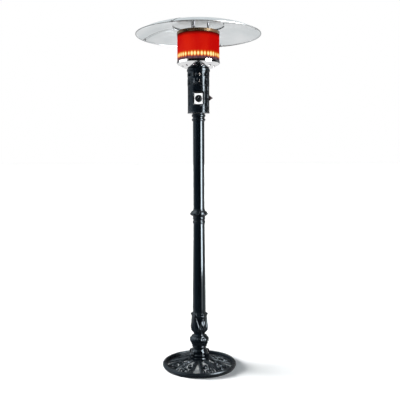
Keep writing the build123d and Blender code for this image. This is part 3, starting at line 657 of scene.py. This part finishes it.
def make_vase(material):
    """The leaf vase with its ring of beads and the spigot inside the pole."""
    low, high = heights("vase_casting")
    top = 378
    outline = section(
        [(28, low), (36, low), (38, low)],
        [(38.2, low + 1), (41.7, low + 7), (46.3, low + 14), (51.2, low + 21), (55.5, low + 28),
         (58.2, low + 36), (58.8, low + 44), (58.2, low + 58), (56.4, low + 75), (54, low + 92),
         (52, low + 110), (51.3, low + 117)],
        [(51.5, low + 119), (53.4, low + 122), (53.4, low + 126), (51.6, low + 129)],
        [(49.6, low + 131), (49.2, low + 137), (49, low + 142)],
        [(48.5, low + 144), (46.4, top - 1), (45.6, top)],
        [(42, top), (41.5, top)],
        [(41.5, top + 1), (41.5, high)],
        [(38, high), (28, high)],
    )
    shape = casting(outline, 360, vase_relief)
    for i in range(BEADS):
        shape.grid(spin(ball((49.8 * MM, 0, 366.5 * MM), 9.2 * MM, 1.0, 14, 20), FULL / BEADS * i),
                   caps=True)
    shape.piece("leaf_vase", material, slot="cast_black", replaces=["vase_casting"])


def make_lower_pole(material):
    """The lower pole, which narrows upward."""
    low, high = heights("lower_pole")
    foot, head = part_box("lower_pole")[1].x / MM, POLE_HEAD_RADIUS
    outline = section(
        [(foot - 2.5, low), (foot - 0.3, low)],
        [(foot, low + 0.5), ((foot + head) / 2, (low + high) / 2), (head, high)],
        [(head - 2.5, high), (head - 2.5, high)],
    )
    shape = casting(outline, 96)
    shape.piece("tapered_pole", material, slot="pole_black", replaces=["lower_pole"])


def egg_relief(angle, radius, height):
    """A row of eggs round the pointed ring."""
    z = height / MM
    pitch = FULL / EGGS
    around = ((angle + pitch / 2) % pitch - pitch / 2) * 57
    high = (z - EGG_Z) / 6.5
    egg = np.clip(1 - (around / 8.2) ** 2 - high ** 2, 0, None)
    return (np.sqrt(egg) * 2.4 - 1.2 * ease(z, 1043, 1047) * (1 - ease(z, 1061, 1066))) * MM


def make_mid_collar(material):
    """The collar over the pole joint: two beads under a pointed ring of eggs."""
    outline = section(
        [(38.7, 988), (39.4, 988)],
        [(40.5, 989.5), (42.8, 993), (43.4, 997), (42.6, 1001.5), (40, 1006)],
        [(39.3, 1007.5), (39.3, 1012.5)],
        [(40, 1014), (42.8, 1018.5), (43.6, 1023), (42.8, 1027.5), (41.2, 1031.5)],
        [(41.2, 1034), (45, 1038.5), (51, 1041.5), (55.4, 1044)],
        [(57.2, 1046), (59.4, 1050), (59.6, 1053), (58.4, 1058), (56.4, 1062)],
        [(54.5, 1065), (49, 1070), (43.6, 1074)],
        [(42, 1076), (41.8, 1079), (40.4, 1082), (39.2, 1084)],
        [(38.7, 1084), (38.7, 1084)],
    )
    shape = casting(outline, 252, egg_relief)
    shape.piece("egg_collar", material, slot="cast_black", replaces=["mid_collar"])


def make_upper_collar(material):
    """Two beads under the control housing."""
    low, high = heights("upper_collar")
    outline = section(
        [(38.7, low), (39.6, low)],
        [(40, low + 2), (44.2, low + 5.5), (45.6, low + 11), (44.2, low + 16.5), (40.6, low + 20)],
        [(39.8, low + 22), (39.8, low + 26)],
        [(40.6, low + 28), (44.8, low + 32), (46.2, low + 38), (44.8, low + 44), (41.6, low + 48)],
        [(41, low + 50), (41, high)],
        [(38.7, high), (38.7, high)],
    )
    shape = casting(outline, 128)
    shape.piece("beaded_collar", material, slot="cast_black", replaces=["upper_collar"])


# ------------------------------------------------ control housing
HOUSING_RADIUS = 72 * MM
ARCH_BELOW_TOP = 20 * MM
DROP_Z = 1931 * MM
CHAIN_Z = 1788 * MM
CHAIN_STEP = 50 * MM
WINDOW_Z = 1824 * MM
SPRING_WIRE = 0.5 * MM                  # radius
SPRING_TURNS = 4.8
VENTS = 12
VENT_START = math.radians(6)


def on_housing(across, height, out):
    """Point on the housing wall from an arc length, a height and a distance outward."""
    angle = across / HOUSING_RADIUS
    reach = HOUSING_RADIUS + out
    return np.array([reach * math.sin(angle), -reach * math.cos(angle), height])


def wire_on_housing(shape, path, width, out, closed=False):
    """A half-round moulding along a line drawn on the housing wall."""
    path = np.asarray(path)
    along = np.gradient(path, axis=0)
    if closed:
        along = np.roll(path, -1, axis=0) - np.roll(path, 1, axis=0)
    along /= np.linalg.norm(along, axis=1)[:, None]
    side = np.stack([-along[:, 1], along[:, 0]], axis=1)
    rings = []
    for point, normal in zip(path, side):
        ring = []
        for a in np.linspace(0, math.pi, 6):
            spot = point + normal * math.cos(a) * width / 2
            ring.append(on_housing(spot[0], spot[1], math.sin(a) * out - 0.4 * MM))
        rings.append(ring)
    shape.grid(rings, loop_rows=closed, caps=not closed)


def boss_on_housing(shape, across, height, half_width, half_height, out):
    """An oval boss on the housing wall."""
    rings = []
    for tilt in np.linspace(0.02, math.pi / 2, 7):
        ring = []
        for a in np.linspace(0, FULL, 18, endpoint=False):
            spot_x = across + half_width * math.sin(tilt) * math.cos(a)
            spot_z = height + half_height * math.sin(tilt) * math.sin(a)
            ring.append(on_housing(spot_x, spot_z, out * math.cos(tilt) - 0.3 * MM))
        rings.append(ring)
    shape.grid(rings, caps=True)


def make_housing_ornament(material):
    """Mouldings on the housing: arch and teardrop frames, chains of oval bosses, the surround."""
    shape = Shape()
    arch_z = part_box("control_housing")[1].z - ARCH_BELOW_TOP
    pitch = FULL / VENTS * HOUSING_RADIUS
    start = VENT_START * HOUSING_RADIUS
    arch = [(math.cos(a) * 9 * MM, math.sin(a) * 9 * MM) for a in np.linspace(0, math.pi, 13)]
    arch = np.array([(9 * MM, -15 * MM)] + arch + [(-9 * MM, -15 * MM)])
    drop = np.array([(8.5 * MM * math.sin(a) * (0.55 - 0.45 * math.cos(a)), -21 * MM * math.cos(a))
                     for a in np.linspace(0, FULL, 26, endpoint=False)])
    for i in range(VENTS):
        across = start + pitch * i
        between = across + pitch / 2
        wire_on_housing(shape, arch + (across, arch_z), 3 * MM, 2.2 * MM)
        wire_on_housing(shape, -drop + (across, DROP_Z), 2.6 * MM, 2 * MM, closed=True)
        boss_on_housing(shape, between, arch_z - 4 * MM, 3 * MM, 7 * MM, 2 * MM)
        boss_on_housing(shape, between, DROP_Z + 16 * MM, 4.2 * MM, 8 * MM, 2.2 * MM)
        boss_on_housing(shape, between, DROP_Z - 10 * MM, 2.8 * MM, 5 * MM, 1.8 * MM)
    for sixth in range(1, 6):           # the window stands where the first chain would be
        across = sixth * FULL / 6 * HOUSING_RADIUS
        for j in range(3):
            link_z = CHAIN_Z + CHAIN_STEP * j
            boss_on_housing(shape, across, link_z, 6 * MM, 17 * MM, 3.4 * MM)
            if j < 2:
                boss_on_housing(shape, across, link_z + CHAIN_STEP / 2, 3 * MM, 4 * MM, 2.4 * MM)
    corner = 9 * MM
    half_width, half_height = 38 * MM, 46 * MM
    surround = []
    for cx, cz, first in ((1, 1, 0), (-1, 1, 90), (-1, -1, 180), (1, -1, 270)):
        for a in np.radians(np.linspace(first, first + 90, 6)):
            surround.append((cx * (half_width - corner) + corner * math.cos(a),
                             cz * (half_height - corner) + corner * math.sin(a)))
    wire_on_housing(shape, np.array(surround) + (0, WINDOW_Z), 3.4 * MM, 2 * MM, closed=True)
    shape.piece("housing_ornament", material, slot="cast_black")


def make_knob(material, mark):
    """Round knob with a fluted skirt, a raised finger grip and a pointer line."""
    low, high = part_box("control_knob")
    centre_z = (low.z + high.z) / 2
    back, front = -high.y / MM, -low.y / MM
    rim = high.x / MM
    outline = section(
        [(4.2, back), (rim - 1.5, back)],
        [(rim - 0.6, back + 0.4), (rim - 0.1, back + 1.5), (rim - 0.1, back + 6)],
        [(rim - 0.4, back + 7.5), (rim - 1.4, back + 8.8), (rim - 2.6, back + 9.4)],
        [(rim - 3.8, back + 10.5), (rim - 4.2, back + 15), (rim - 4.8, front - 1.8),
         (rim - 6.4, front - 0.4)],
        [(12, front - 0.1), (8, front - 0.3), (1, front - 0.5)],
    )

    def flutes(angle, radius, height):
        out = height / MM - back
        skirt = ease(out, 1, 2) * (1 - ease(out, 5.5, 7))
        grip = ease(out, 10, 11.5) * (1 - ease(out, front - back - 2.5, front - back - 0.8))
        return -(skirt * 0.7 + grip * 0.5) * (0.5 + 0.5 * np.cos(24 * angle)) * MM

    rings = turned(outline, 192, flutes)
    rings = np.stack([rings[..., 0], -rings[..., 2], rings[..., 1] + centre_z], axis=-1)
    shape = Shape()
    shape.grid(rings, caps=True)
    shape.piece("fluted_knob", material, "control_knob", "knob_black", ["control_knob"])
    pointer = Shape()
    face = -(front - 0.35) * MM
    rows = []
    for z in centre_z + np.linspace(4, 13.2, 6) * MM:
        rows.append([(x * MM, face + y * MM, z)
                     for x, y in ((-0.9, 0.5), (0.9, 0.5), (0.7, -0.1), (-0.7, -0.1))])
    pointer.grid(rows, caps=True)
    pointer.piece("knob_pointer", mark, "control_knob", "plate_white")


def make_valve_spring(material):
    """The return spring in the valve, built at one length; the real one shortens as the knob is
    pushed in.
    """
    low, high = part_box("valve_spring")
    coil = (high.x - low.x) / 2 - SPRING_WIRE
    across, up = (low.x + high.x) / 2, (low.z + high.z) / 2
    section_angle = np.linspace(0, FULL, 10, endpoint=False)
    rings = []
    for share in np.linspace(0, 1, 150):
        angle = FULL * SPRING_TURNS * share
        reach = coil + SPRING_WIRE * np.cos(section_angle)
        along = low.y + SPRING_WIRE + (high.y - low.y - 2 * SPRING_WIRE) * share \
            + SPRING_WIRE * np.sin(section_angle)
        rings.append(np.stack([across + reach * math.cos(angle), along, up + reach * math.sin(angle)],
                              axis=1))
    shape = Shape()
    shape.grid(rings, caps=True)
    spring = shape.piece("return_spring", material, slot="zinc_steel", replaces=["valve_spring"])
    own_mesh(spring)


# ------------------------------------------------ emitter
DRUM_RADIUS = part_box("emitter_screen")[1].x
BACKING = DRUM_RADIUS - 3.6 * MM        # the solid layer behind the perforated sheet
FLAMES = 40
SCREEN_COLUMNS, SCREEN_ROWS = 110, 25
HOLE_RADIUS = 2.55 * MM


def screen_cell(column, row, pitch_z, low, radius):
    """Points of one cell of the perforated sheet: a rectangle, then the round hole in it."""
    angle = FULL / SCREEN_COLUMNS
    middle = (column + 0.5 * (row % 2)) * angle
    height = low + (row + 0.5) * pitch_z
    edge = [(1, 0), (1, 1), (0, 1), (-1, 1), (-1, 0), (-1, -1), (0, -1), (1, -1)]
    points = [(middle + x * angle / 2, height + z * pitch_z / 2) for x, z in edge]
    for k in range(8):
        a = math.pi / 4 * k
        points.append((middle + HOLE_RADIUS * math.cos(a) / radius,
                       height + HOLE_RADIUS * math.sin(a)))
    return [(radius * math.cos(a), radius * math.sin(a), z) for a, z in points]


def make_screen(material):
    """The emitter's stainless sheet, really perforated between its two bands."""
    low, high = (corner.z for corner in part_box("emitter_screen"))
    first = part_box("lower_band")[1].z - 3 * MM
    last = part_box("emitter_top_plate")[0].z + 2 * MM
    pitch_z = (last - first) / SCREEN_ROWS
    radius = DRUM_RADIUS - 0.5 * MM
    quads = [(k, (k + 1) % 8, 8 + (k + 1) % 8, 8 + k) for k in range(8)]
    shape = Shape()
    for row in range(SCREEN_ROWS):
        for column in range(SCREEN_COLUMNS):
            shape.add(screen_cell(column, row, pitch_z, first, radius), quads)
    for reach, base, top in ((radius, low, first), (radius, last, high), (BACKING, low, high)):
        shape.grid(turned([(reach, base), (reach, top)], SCREEN_COLUMNS * 2))
    sheet = shape.piece("perforated_screen", material, slot="glowing_screen",
                        replaces=["emitter_screen"], sharp=180)
    weld = bmesh.new()
    weld.from_mesh(sheet.data)
    bmesh.ops.remove_doubles(weld, verts=weld.verts, dist=0.05 * MM)
    weld.to_mesh(sheet.data)
    weld.free()
    sheet.modifiers.new("thickness", "SOLIDIFY").thickness = 0.8 * MM


def make_flames(material):
    """A ring of small flames from the burner's rim, just inside the screen."""
    pan_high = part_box("burner_pan")[1]
    shape = Shape()
    draw = np.random.default_rng(4)
    for i in range(FLAMES):
        tall = draw.uniform(0.85, 1.2)
        wide = draw.uniform(0.85, 1.15)
        rings = []
        for t in np.linspace(0, 1, 12):
            belly = 0.35 + math.sin(math.pi * min(1, t + 0.1) ** 0.8)
            size = belly * 3.4 * MM * wide * (1 - 0.75 * t)
            centre_r = pan_high.x + (6 + 12 * t ** 0.6) * MM
            z = pan_high.z - 12 * MM + 24 * MM * t * tall
            a = np.linspace(0, FULL, 12, endpoint=False)
            rings.append(np.stack([centre_r + size * np.cos(a), size * np.sin(a),
                                   np.full(12, z)], axis=1))
        shape.grid(spin(rings, FULL / FLAMES * (i + 0.5)), caps=True)
    shape.piece("flame_ring", material)


# ------------------------------------------------ finishes of the kept nodes
def dress():
    """Gives every CAD node that still shows its finish."""
    dark = moulded("dark_plated", (0.03, 0.03, 0.034), 0.32)
    by_slot = {
        "cast_black": CAST,
        "pole_black": POLE,
        "pad_rubber": moulded("pad_rubber", (0.02, 0.02, 0.02), 0.8),
        "pipe_steel": plain_steel("pipe_steel", (0.42, 0.42, 0.43), 0.42),
        "zinc_steel": plain_steel("zinc_steel", (0.62, 0.63, 0.65)),
        "dark_fasteners": dark,
        "recess_black": moulded("recess_black", (0.006, 0.007, 0.008), 0.35),
        "plate_white": ENAMEL,
        "knob_black": KNOB,
        "button_maroon": moulded("button_maroon", (0.012, 0.0016, 0.003), 0.4, shine=0.1),
        "bezel_black": moulded("bezel_black", (0.012, 0.010, 0.011), 0.25),
        "valve_alloy": plain_steel("valve_alloy", (0.60, 0.61, 0.62), 0.5),
        "brass": plain_steel("brass", (0.72, 0.52, 0.22), 0.3),
        "igniter_plastic": moulded("igniter_plastic", (0.03, 0.03, 0.034), 0.5),
        "wire_jacket": moulded("wire_jacket", (0.30, 0.05, 0.03), 0.5),
        "copper_line": plain_steel("drawn_line", (0.70, 0.70, 0.71), 0.3),
        "electrode_ceramic": moulded("electrode_ceramic", (0.82, 0.80, 0.74), 0.25),
        "burner_steel": plain_steel("burner_steel", (0.40, 0.36, 0.33), 0.45),
        "mirror_steel": MIRROR,
        "drum_fasteners": plain_steel("drum_fasteners", (0.20, 0.20, 0.21), 0.35),
        "glowing_screen": SCREEN,
        "bronze_band": bronzed_band(),
        "reflector_aluminium": ALUMINIUM,
    }
    for row in frame["record"]["subparts"]:
        mesh = frame["nodes"][row["node"]].data
        mesh.materials.clear()
        mesh.materials.append(by_slot[row["material_slot"]])
    for name in ("seam_screws", "seam_nuts"):
        frame["nodes"][name].data.materials[0] = dark


def screen_glow():
    """The hot screen: painted light below the flames as a dim streaked glow, a row of flames, red
    that dies at the top, and painted shade in the holes.
    """
    made = Finish("screen_glow", (0.02, 0.004, 0.003), 0.8)
    made.set("Specular IOR Level", 0.0)
    x, y, z = made.axes()
    red = made.ramp(made.noise(7, 2, (1, 1, 0.45)), [
        (0.35, (0.51, 0.0, 0.0)), (0.5, (0.57, 0.001, 0.0)), (0.68, (0.67, 0.010, 0.001))])
    # Painted light: the cold steel below the flames glows dimly instead of being lit by the lamps.
    painted_cold_glow = made.ramp(made.noise(90, 2, (1, 1, 0.06)), [
        (0.3, (0.045, 0.026, 0.040)), (0.55, (0.085, 0.052, 0.068)), (0.75, (0.17, 0.11, 0.12))])
    top_fade = made.spread(z, 1.0, 0.10, (SCREEN_TOP - 24 * MM, SCREEN_TOP - 2 * MM))
    # Painted shade: the backing behind the holes glows dimmer so that the holes read as shaded.
    layer = made.spread(made.reach(x, y), 0.82, 1.0, (BACKING + 0.4 * MM, BACKING + 2 * MM))
    red = made.mix("MULTIPLY", red, made.math("MULTIPLY", top_fade, layer))
    lit = made.spread(z, 0.0, 1.0, (FLAME_Z - 17 * MM, FLAME_Z - 9 * MM))
    body = made.mix("MIX", painted_cold_glow, red, lit)
    wave = made.math("COSINE", made.math("MULTIPLY", made.math("ARCTAN2", y, x), float(FLAMES)))
    level = made.math("DIVIDE", made.math("SUBTRACT", z, FLAME_Z), 12 * MM)
    bell = made.math("EXPONENT", made.math("MULTIPLY", made.math("MULTIPLY", level, level), -1.0))
    uneven = made.spread(made.noise(24, 1, (1, 1, 0.1)), 0.35, 1.5)
    lobe = made.math("MULTIPLY", made.spread(wave, 0.26, 1.1, (-0.8, 0.6)), bell)
    hot = made.math("MULTIPLY", lobe, uneven)
    flame = made.ramp(hot, [(0.0, (0.0, 0.0, 0.0)), (0.2, (0.70, 0.12, 0.01)),
                            (0.42, (1.0, 0.47, 0.07)), (0.75, (1.0, 0.93, 0.42))])
    made.link(made.mix("LIGHTEN", body, flame), made.shader.inputs["Emission Color"])
    made.set("Emission Strength", 1.0)
    return made.material


# ------------------------------------------------ stage
# Azimuths run from the front towards the right. Angles are in degrees unless a comment says so.
FLOOR_RADIUS = 400
FLOOR_FILL = 0.12
PAINTED_FLOOR_STREAK = ((0.66, 0.76), (1.24, 1.34), (0.35, 1.3), 2.2)   # radians, metres, strength
DARK_FRONT = 0.005
DRUM_HEIGHTS = (8.8, 13)                # what the drum's mirror band shows
# Panels that gloss shows: azimuths, their softness, heights, their softness, strength.
LEFT_PANEL = ((-126, -58), 5, (-16, 60), 8, 0.55)
HIGH_LEFT_PANEL = ((-140, -50), 8, (26, 66), 6, 2.4)
DRUM_PANEL = ((-124, -64), 2, DRUM_HEIGHTS, 0.4, 1.6)
RIGHT_PANEL = ((75, 125), 8, (-16, 60), 8, 0.3)
# Suns: azimuth, height, spread, power. Softboxes: width, lowest and highest point in metres.
SUNS = {"left": (-100, 12, 44, 16.5), "front": (-15, 4, 12, 3), "above": (20, 78, 50, 0.25)}
SOFTBOXES = {"low_softbox": (1.7, 0.1, 1.97), "middle_softbox": (0.8, 1.97, 2.46),
             "high_softbox": (1.85, 2.46, 4.6)}
KEY_GLOW = 32.0
KEY_AZIMUTH, KEY_DISTANCE = 57, 3.3
CAMERA_PLACE = (8.4 * MM, -3.932, 1.398)
CAMERA_DOWN, CAMERA_LEAN = 0.0639, 0.0035   # radians
CAMERA_LENS = 52.39


def make_floor():
    """A pale floor with a faint light of its own, so that shadows stay soft.

    In gloss it shows painted light instead: a dark front, a pale back and a painted streak of the
    softbox to the right.
    """
    shape = Shape()
    ring = [(FLOOR_RADIUS * math.cos(a), FLOOR_RADIUS * math.sin(a), 0)
            for a in np.linspace(0, FULL, 96, endpoint=False)]
    shape.add(ring, [tuple(range(96))])
    mesh = bpy.data.meshes.new("floor")
    mesh.from_pydata(shape.points, [], shape.faces)
    made = Finish("pale_floor", (0.86, 0.86, 0.86), 0.9)
    made.set("Specular IOR Level", 0.0)
    made.set("Emission Color", (0.86, 0.95, 1.0, 1))
    made.set("Emission Strength", FLOOR_FILL)
    made.colour(made.noise(0.6), (0.85, 0.85, 0.85), (0.87, 0.87, 0.87))
    # Painted reflection: for gloss the floor glows instead of reflecting, dark at the front, pale at
    # the back and along the softbox's streak.
    x, y, _ = made.axes()
    near = made.spread(y, 0.008, 0.82, (-0.5, 0.5))
    azimuth = made.azimuth(x, y)
    start, end, reaches, strength = PAINTED_FLOOR_STREAK
    lit = made.math("MULTIPLY", made.spread(azimuth, 0.0, 1.0, start),
                    made.spread(azimuth, 1.0, 0.0, end))
    lit = made.math("MULTIPLY", lit, made.spread(made.reach(x, y), 0.0, strength, reaches))
    mirrored = made.node("ShaderNodeEmission")
    made.link(made.math("ADD", near, lit), mirrored.inputs["Strength"])
    seen = made.choose("Is Glossy Ray", made.shader.outputs["BSDF"], mirrored.outputs["Emission"])
    made.link(seen, made.tree.nodes["Material Output"].inputs["Surface"])
    mesh.materials.append(made.material)
    floor = bpy.data.objects.new("floor", mesh)
    bpy.context.scene.collection.objects.link(floor)


def make_world():
    """What gloss shows by direction, and a plain white backdrop for the camera.

    Panels stand to the left and a dim one to the right. The back is pale and the front dark.
    """
    world = bpy.data.worlds.new("studio")
    world.use_nodes = True
    made = Nodes(world.node_tree, "Generated")
    x, y, z = made.axes()
    azimuth = made.math("MULTIPLY", made.azimuth(x, y), 180 / math.pi)
    height = made.math("MULTIPLY", made.math("ARCSINE", z), 180 / math.pi)

    def band(value, low, high, soft):
        rise = made.spread(value, 0.0, 1.0, (low - soft, low + soft))
        fall = made.spread(value, 1.0, 0.0, (high - soft, high + soft))
        return made.math("MULTIPLY", rise, fall)

    def panel_glow(azimuths, soft, heights, soft_height, glow):
        window = made.math("MULTIPLY", band(azimuth, *azimuths, soft),
                           band(height, *heights, soft_height))
        return made.math("MULTIPLY", window, glow)

    not_drum = made.math("SUBTRACT", 1.0, band(height, *DRUM_HEIGHTS, 0.4))
    sky = made.math("ADD", made.spread(height, 0.15, 0.58, (19, 34)),
                    made.spread(height, 0.0, 0.3, (34, 62)))
    rear = made.math("MAXIMUM", made.spread(y, 0.0, 1.0, (0.2, 0.6)),
                     made.spread(height, 0.0, 1.0, (40, 65)))
    light = made.math("ADD", panel_glow(*LEFT_PANEL), DARK_FRONT)
    for part in (panel_glow(*HIGH_LEFT_PANEL),
                 made.math("MULTIPLY", panel_glow(*RIGHT_PANEL), not_drum),
                 panel_glow(*DRUM_PANEL),
                 made.math("MULTIPLY", sky, rear)):
        light = made.math("ADD", light, part)

    def background(colour, strength=1.0):
        shader = made.node("ShaderNodeBackground")
        shader.inputs["Color"].default_value = colour
        shader.inputs["Strength"].default_value = strength
        return shader

    mirrored = background((0.93, 0.98, 1.0, 1))
    made.link(light, mirrored.inputs["Strength"])
    even = background((0.80, 0.92, 1.0, 1), 0.10)
    soft = made.choose("Is Glossy Ray", even.outputs["Background"], mirrored.outputs["Background"])
    all_rays = made.choose("Is Camera Ray", soft, background((1, 1, 1, 1)).outputs["Background"])
    made.link(all_rays, made.tree.nodes["World Output"].inputs["Surface"])
    bpy.context.scene.world = world


def sun(name, azimuth, height, spread, power):
    """A wide soft sun that doesn't show in gloss."""
    lamp = bpy.data.lights.new(name, "SUN")
    lamp.energy = power
    lamp.angle = math.radians(spread)
    obj = bpy.data.objects.new(name, lamp)
    a, h = math.radians(azimuth), math.radians(height)
    place = Vector((math.sin(a) * math.cos(h), -math.cos(a) * math.cos(h), math.sin(h)))
    obj.rotation_euler = place.to_track_quat("Z", "Y").to_euler()
    obj.visible_glossy = False
    bpy.context.scene.collection.objects.link(obj)


def softbox(name, width, low, high):
    """Part of the key light: an upright panel that only shows in gloss and faces the post."""
    lamp = bpy.data.lights.new(name, "AREA")
    lamp.shape = "RECTANGLE"
    lamp.size, lamp.size_y = width, high - low
    lamp.energy = KEY_GLOW * math.pi * width * (high - low)
    obj = bpy.data.objects.new(name, lamp)
    a = math.radians(KEY_AZIMUTH)
    obj.location = (KEY_DISTANCE * math.sin(a), -KEY_DISTANCE * math.cos(a), (low + high) / 2)
    obj.rotation_euler = (math.pi / 2, 0, a)
    obj.visible_camera = False
    obj.visible_diffuse = False
    bpy.context.scene.collection.objects.link(obj)


def make_lights():
    """Suns for the shadows and the white plate, and a softbox in three widths for the gloss."""
    for name, values in SUNS.items():
        sun(name, *values)
    for name, values in SOFTBOXES.items():
        softbox(name, *values)


def make_camera():
    """The camera stands 3.93 m away at 1.4 m, looks slightly down and leans by 0.2 degrees."""
    lens = bpy.data.cameras.new("camera")
    lens.lens = CAMERA_LENS
    lens.sensor_width = 36
    camera = bpy.data.objects.new("camera", lens)
    camera.location = CAMERA_PLACE
    camera.rotation_euler = Euler((math.pi / 2 - CAMERA_DOWN, CAMERA_LEAN, 0))
    bpy.context.scene.collection.objects.link(camera)
    bpy.context.scene.camera = camera


# ------------------------------------------------ make everything
FLAME_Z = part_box("burner_pan")[1].z - MM
SCREEN_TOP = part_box("emitter_top_plate")[0].z
CAST = cast_paint("cast_paint", 0.13)
BASE_PAINT = cast_paint("base_paint", 0.3)
POLE = pole_paint()
MIRROR = mirror_steel()
ALUMINIUM = satin_aluminium()
ENAMEL = white_enamel()
KNOB = moulded("knob_plastic", (0.004, 0.005, 0.006), 0.24, shine=0.2)
SCREEN = screen_glow()
FLAME = flame_glow()

make_camera()
dress()
make_base(BASE_PAINT)
make_foot(CAST)
make_vase(CAST)
make_lower_pole(POLE)
make_mid_collar(CAST)
make_upper_collar(CAST)
make_housing_ornament(CAST)
make_knob(KNOB, ENAMEL)
make_valve_spring(plain_steel("spring_steel", (0.62, 0.63, 0.65)))
make_screen(SCREEN)
make_flames(FLAME)
make_floor()
make_world()
make_lights()
bpy.context.scene.view_settings.view_transform = "Standard"
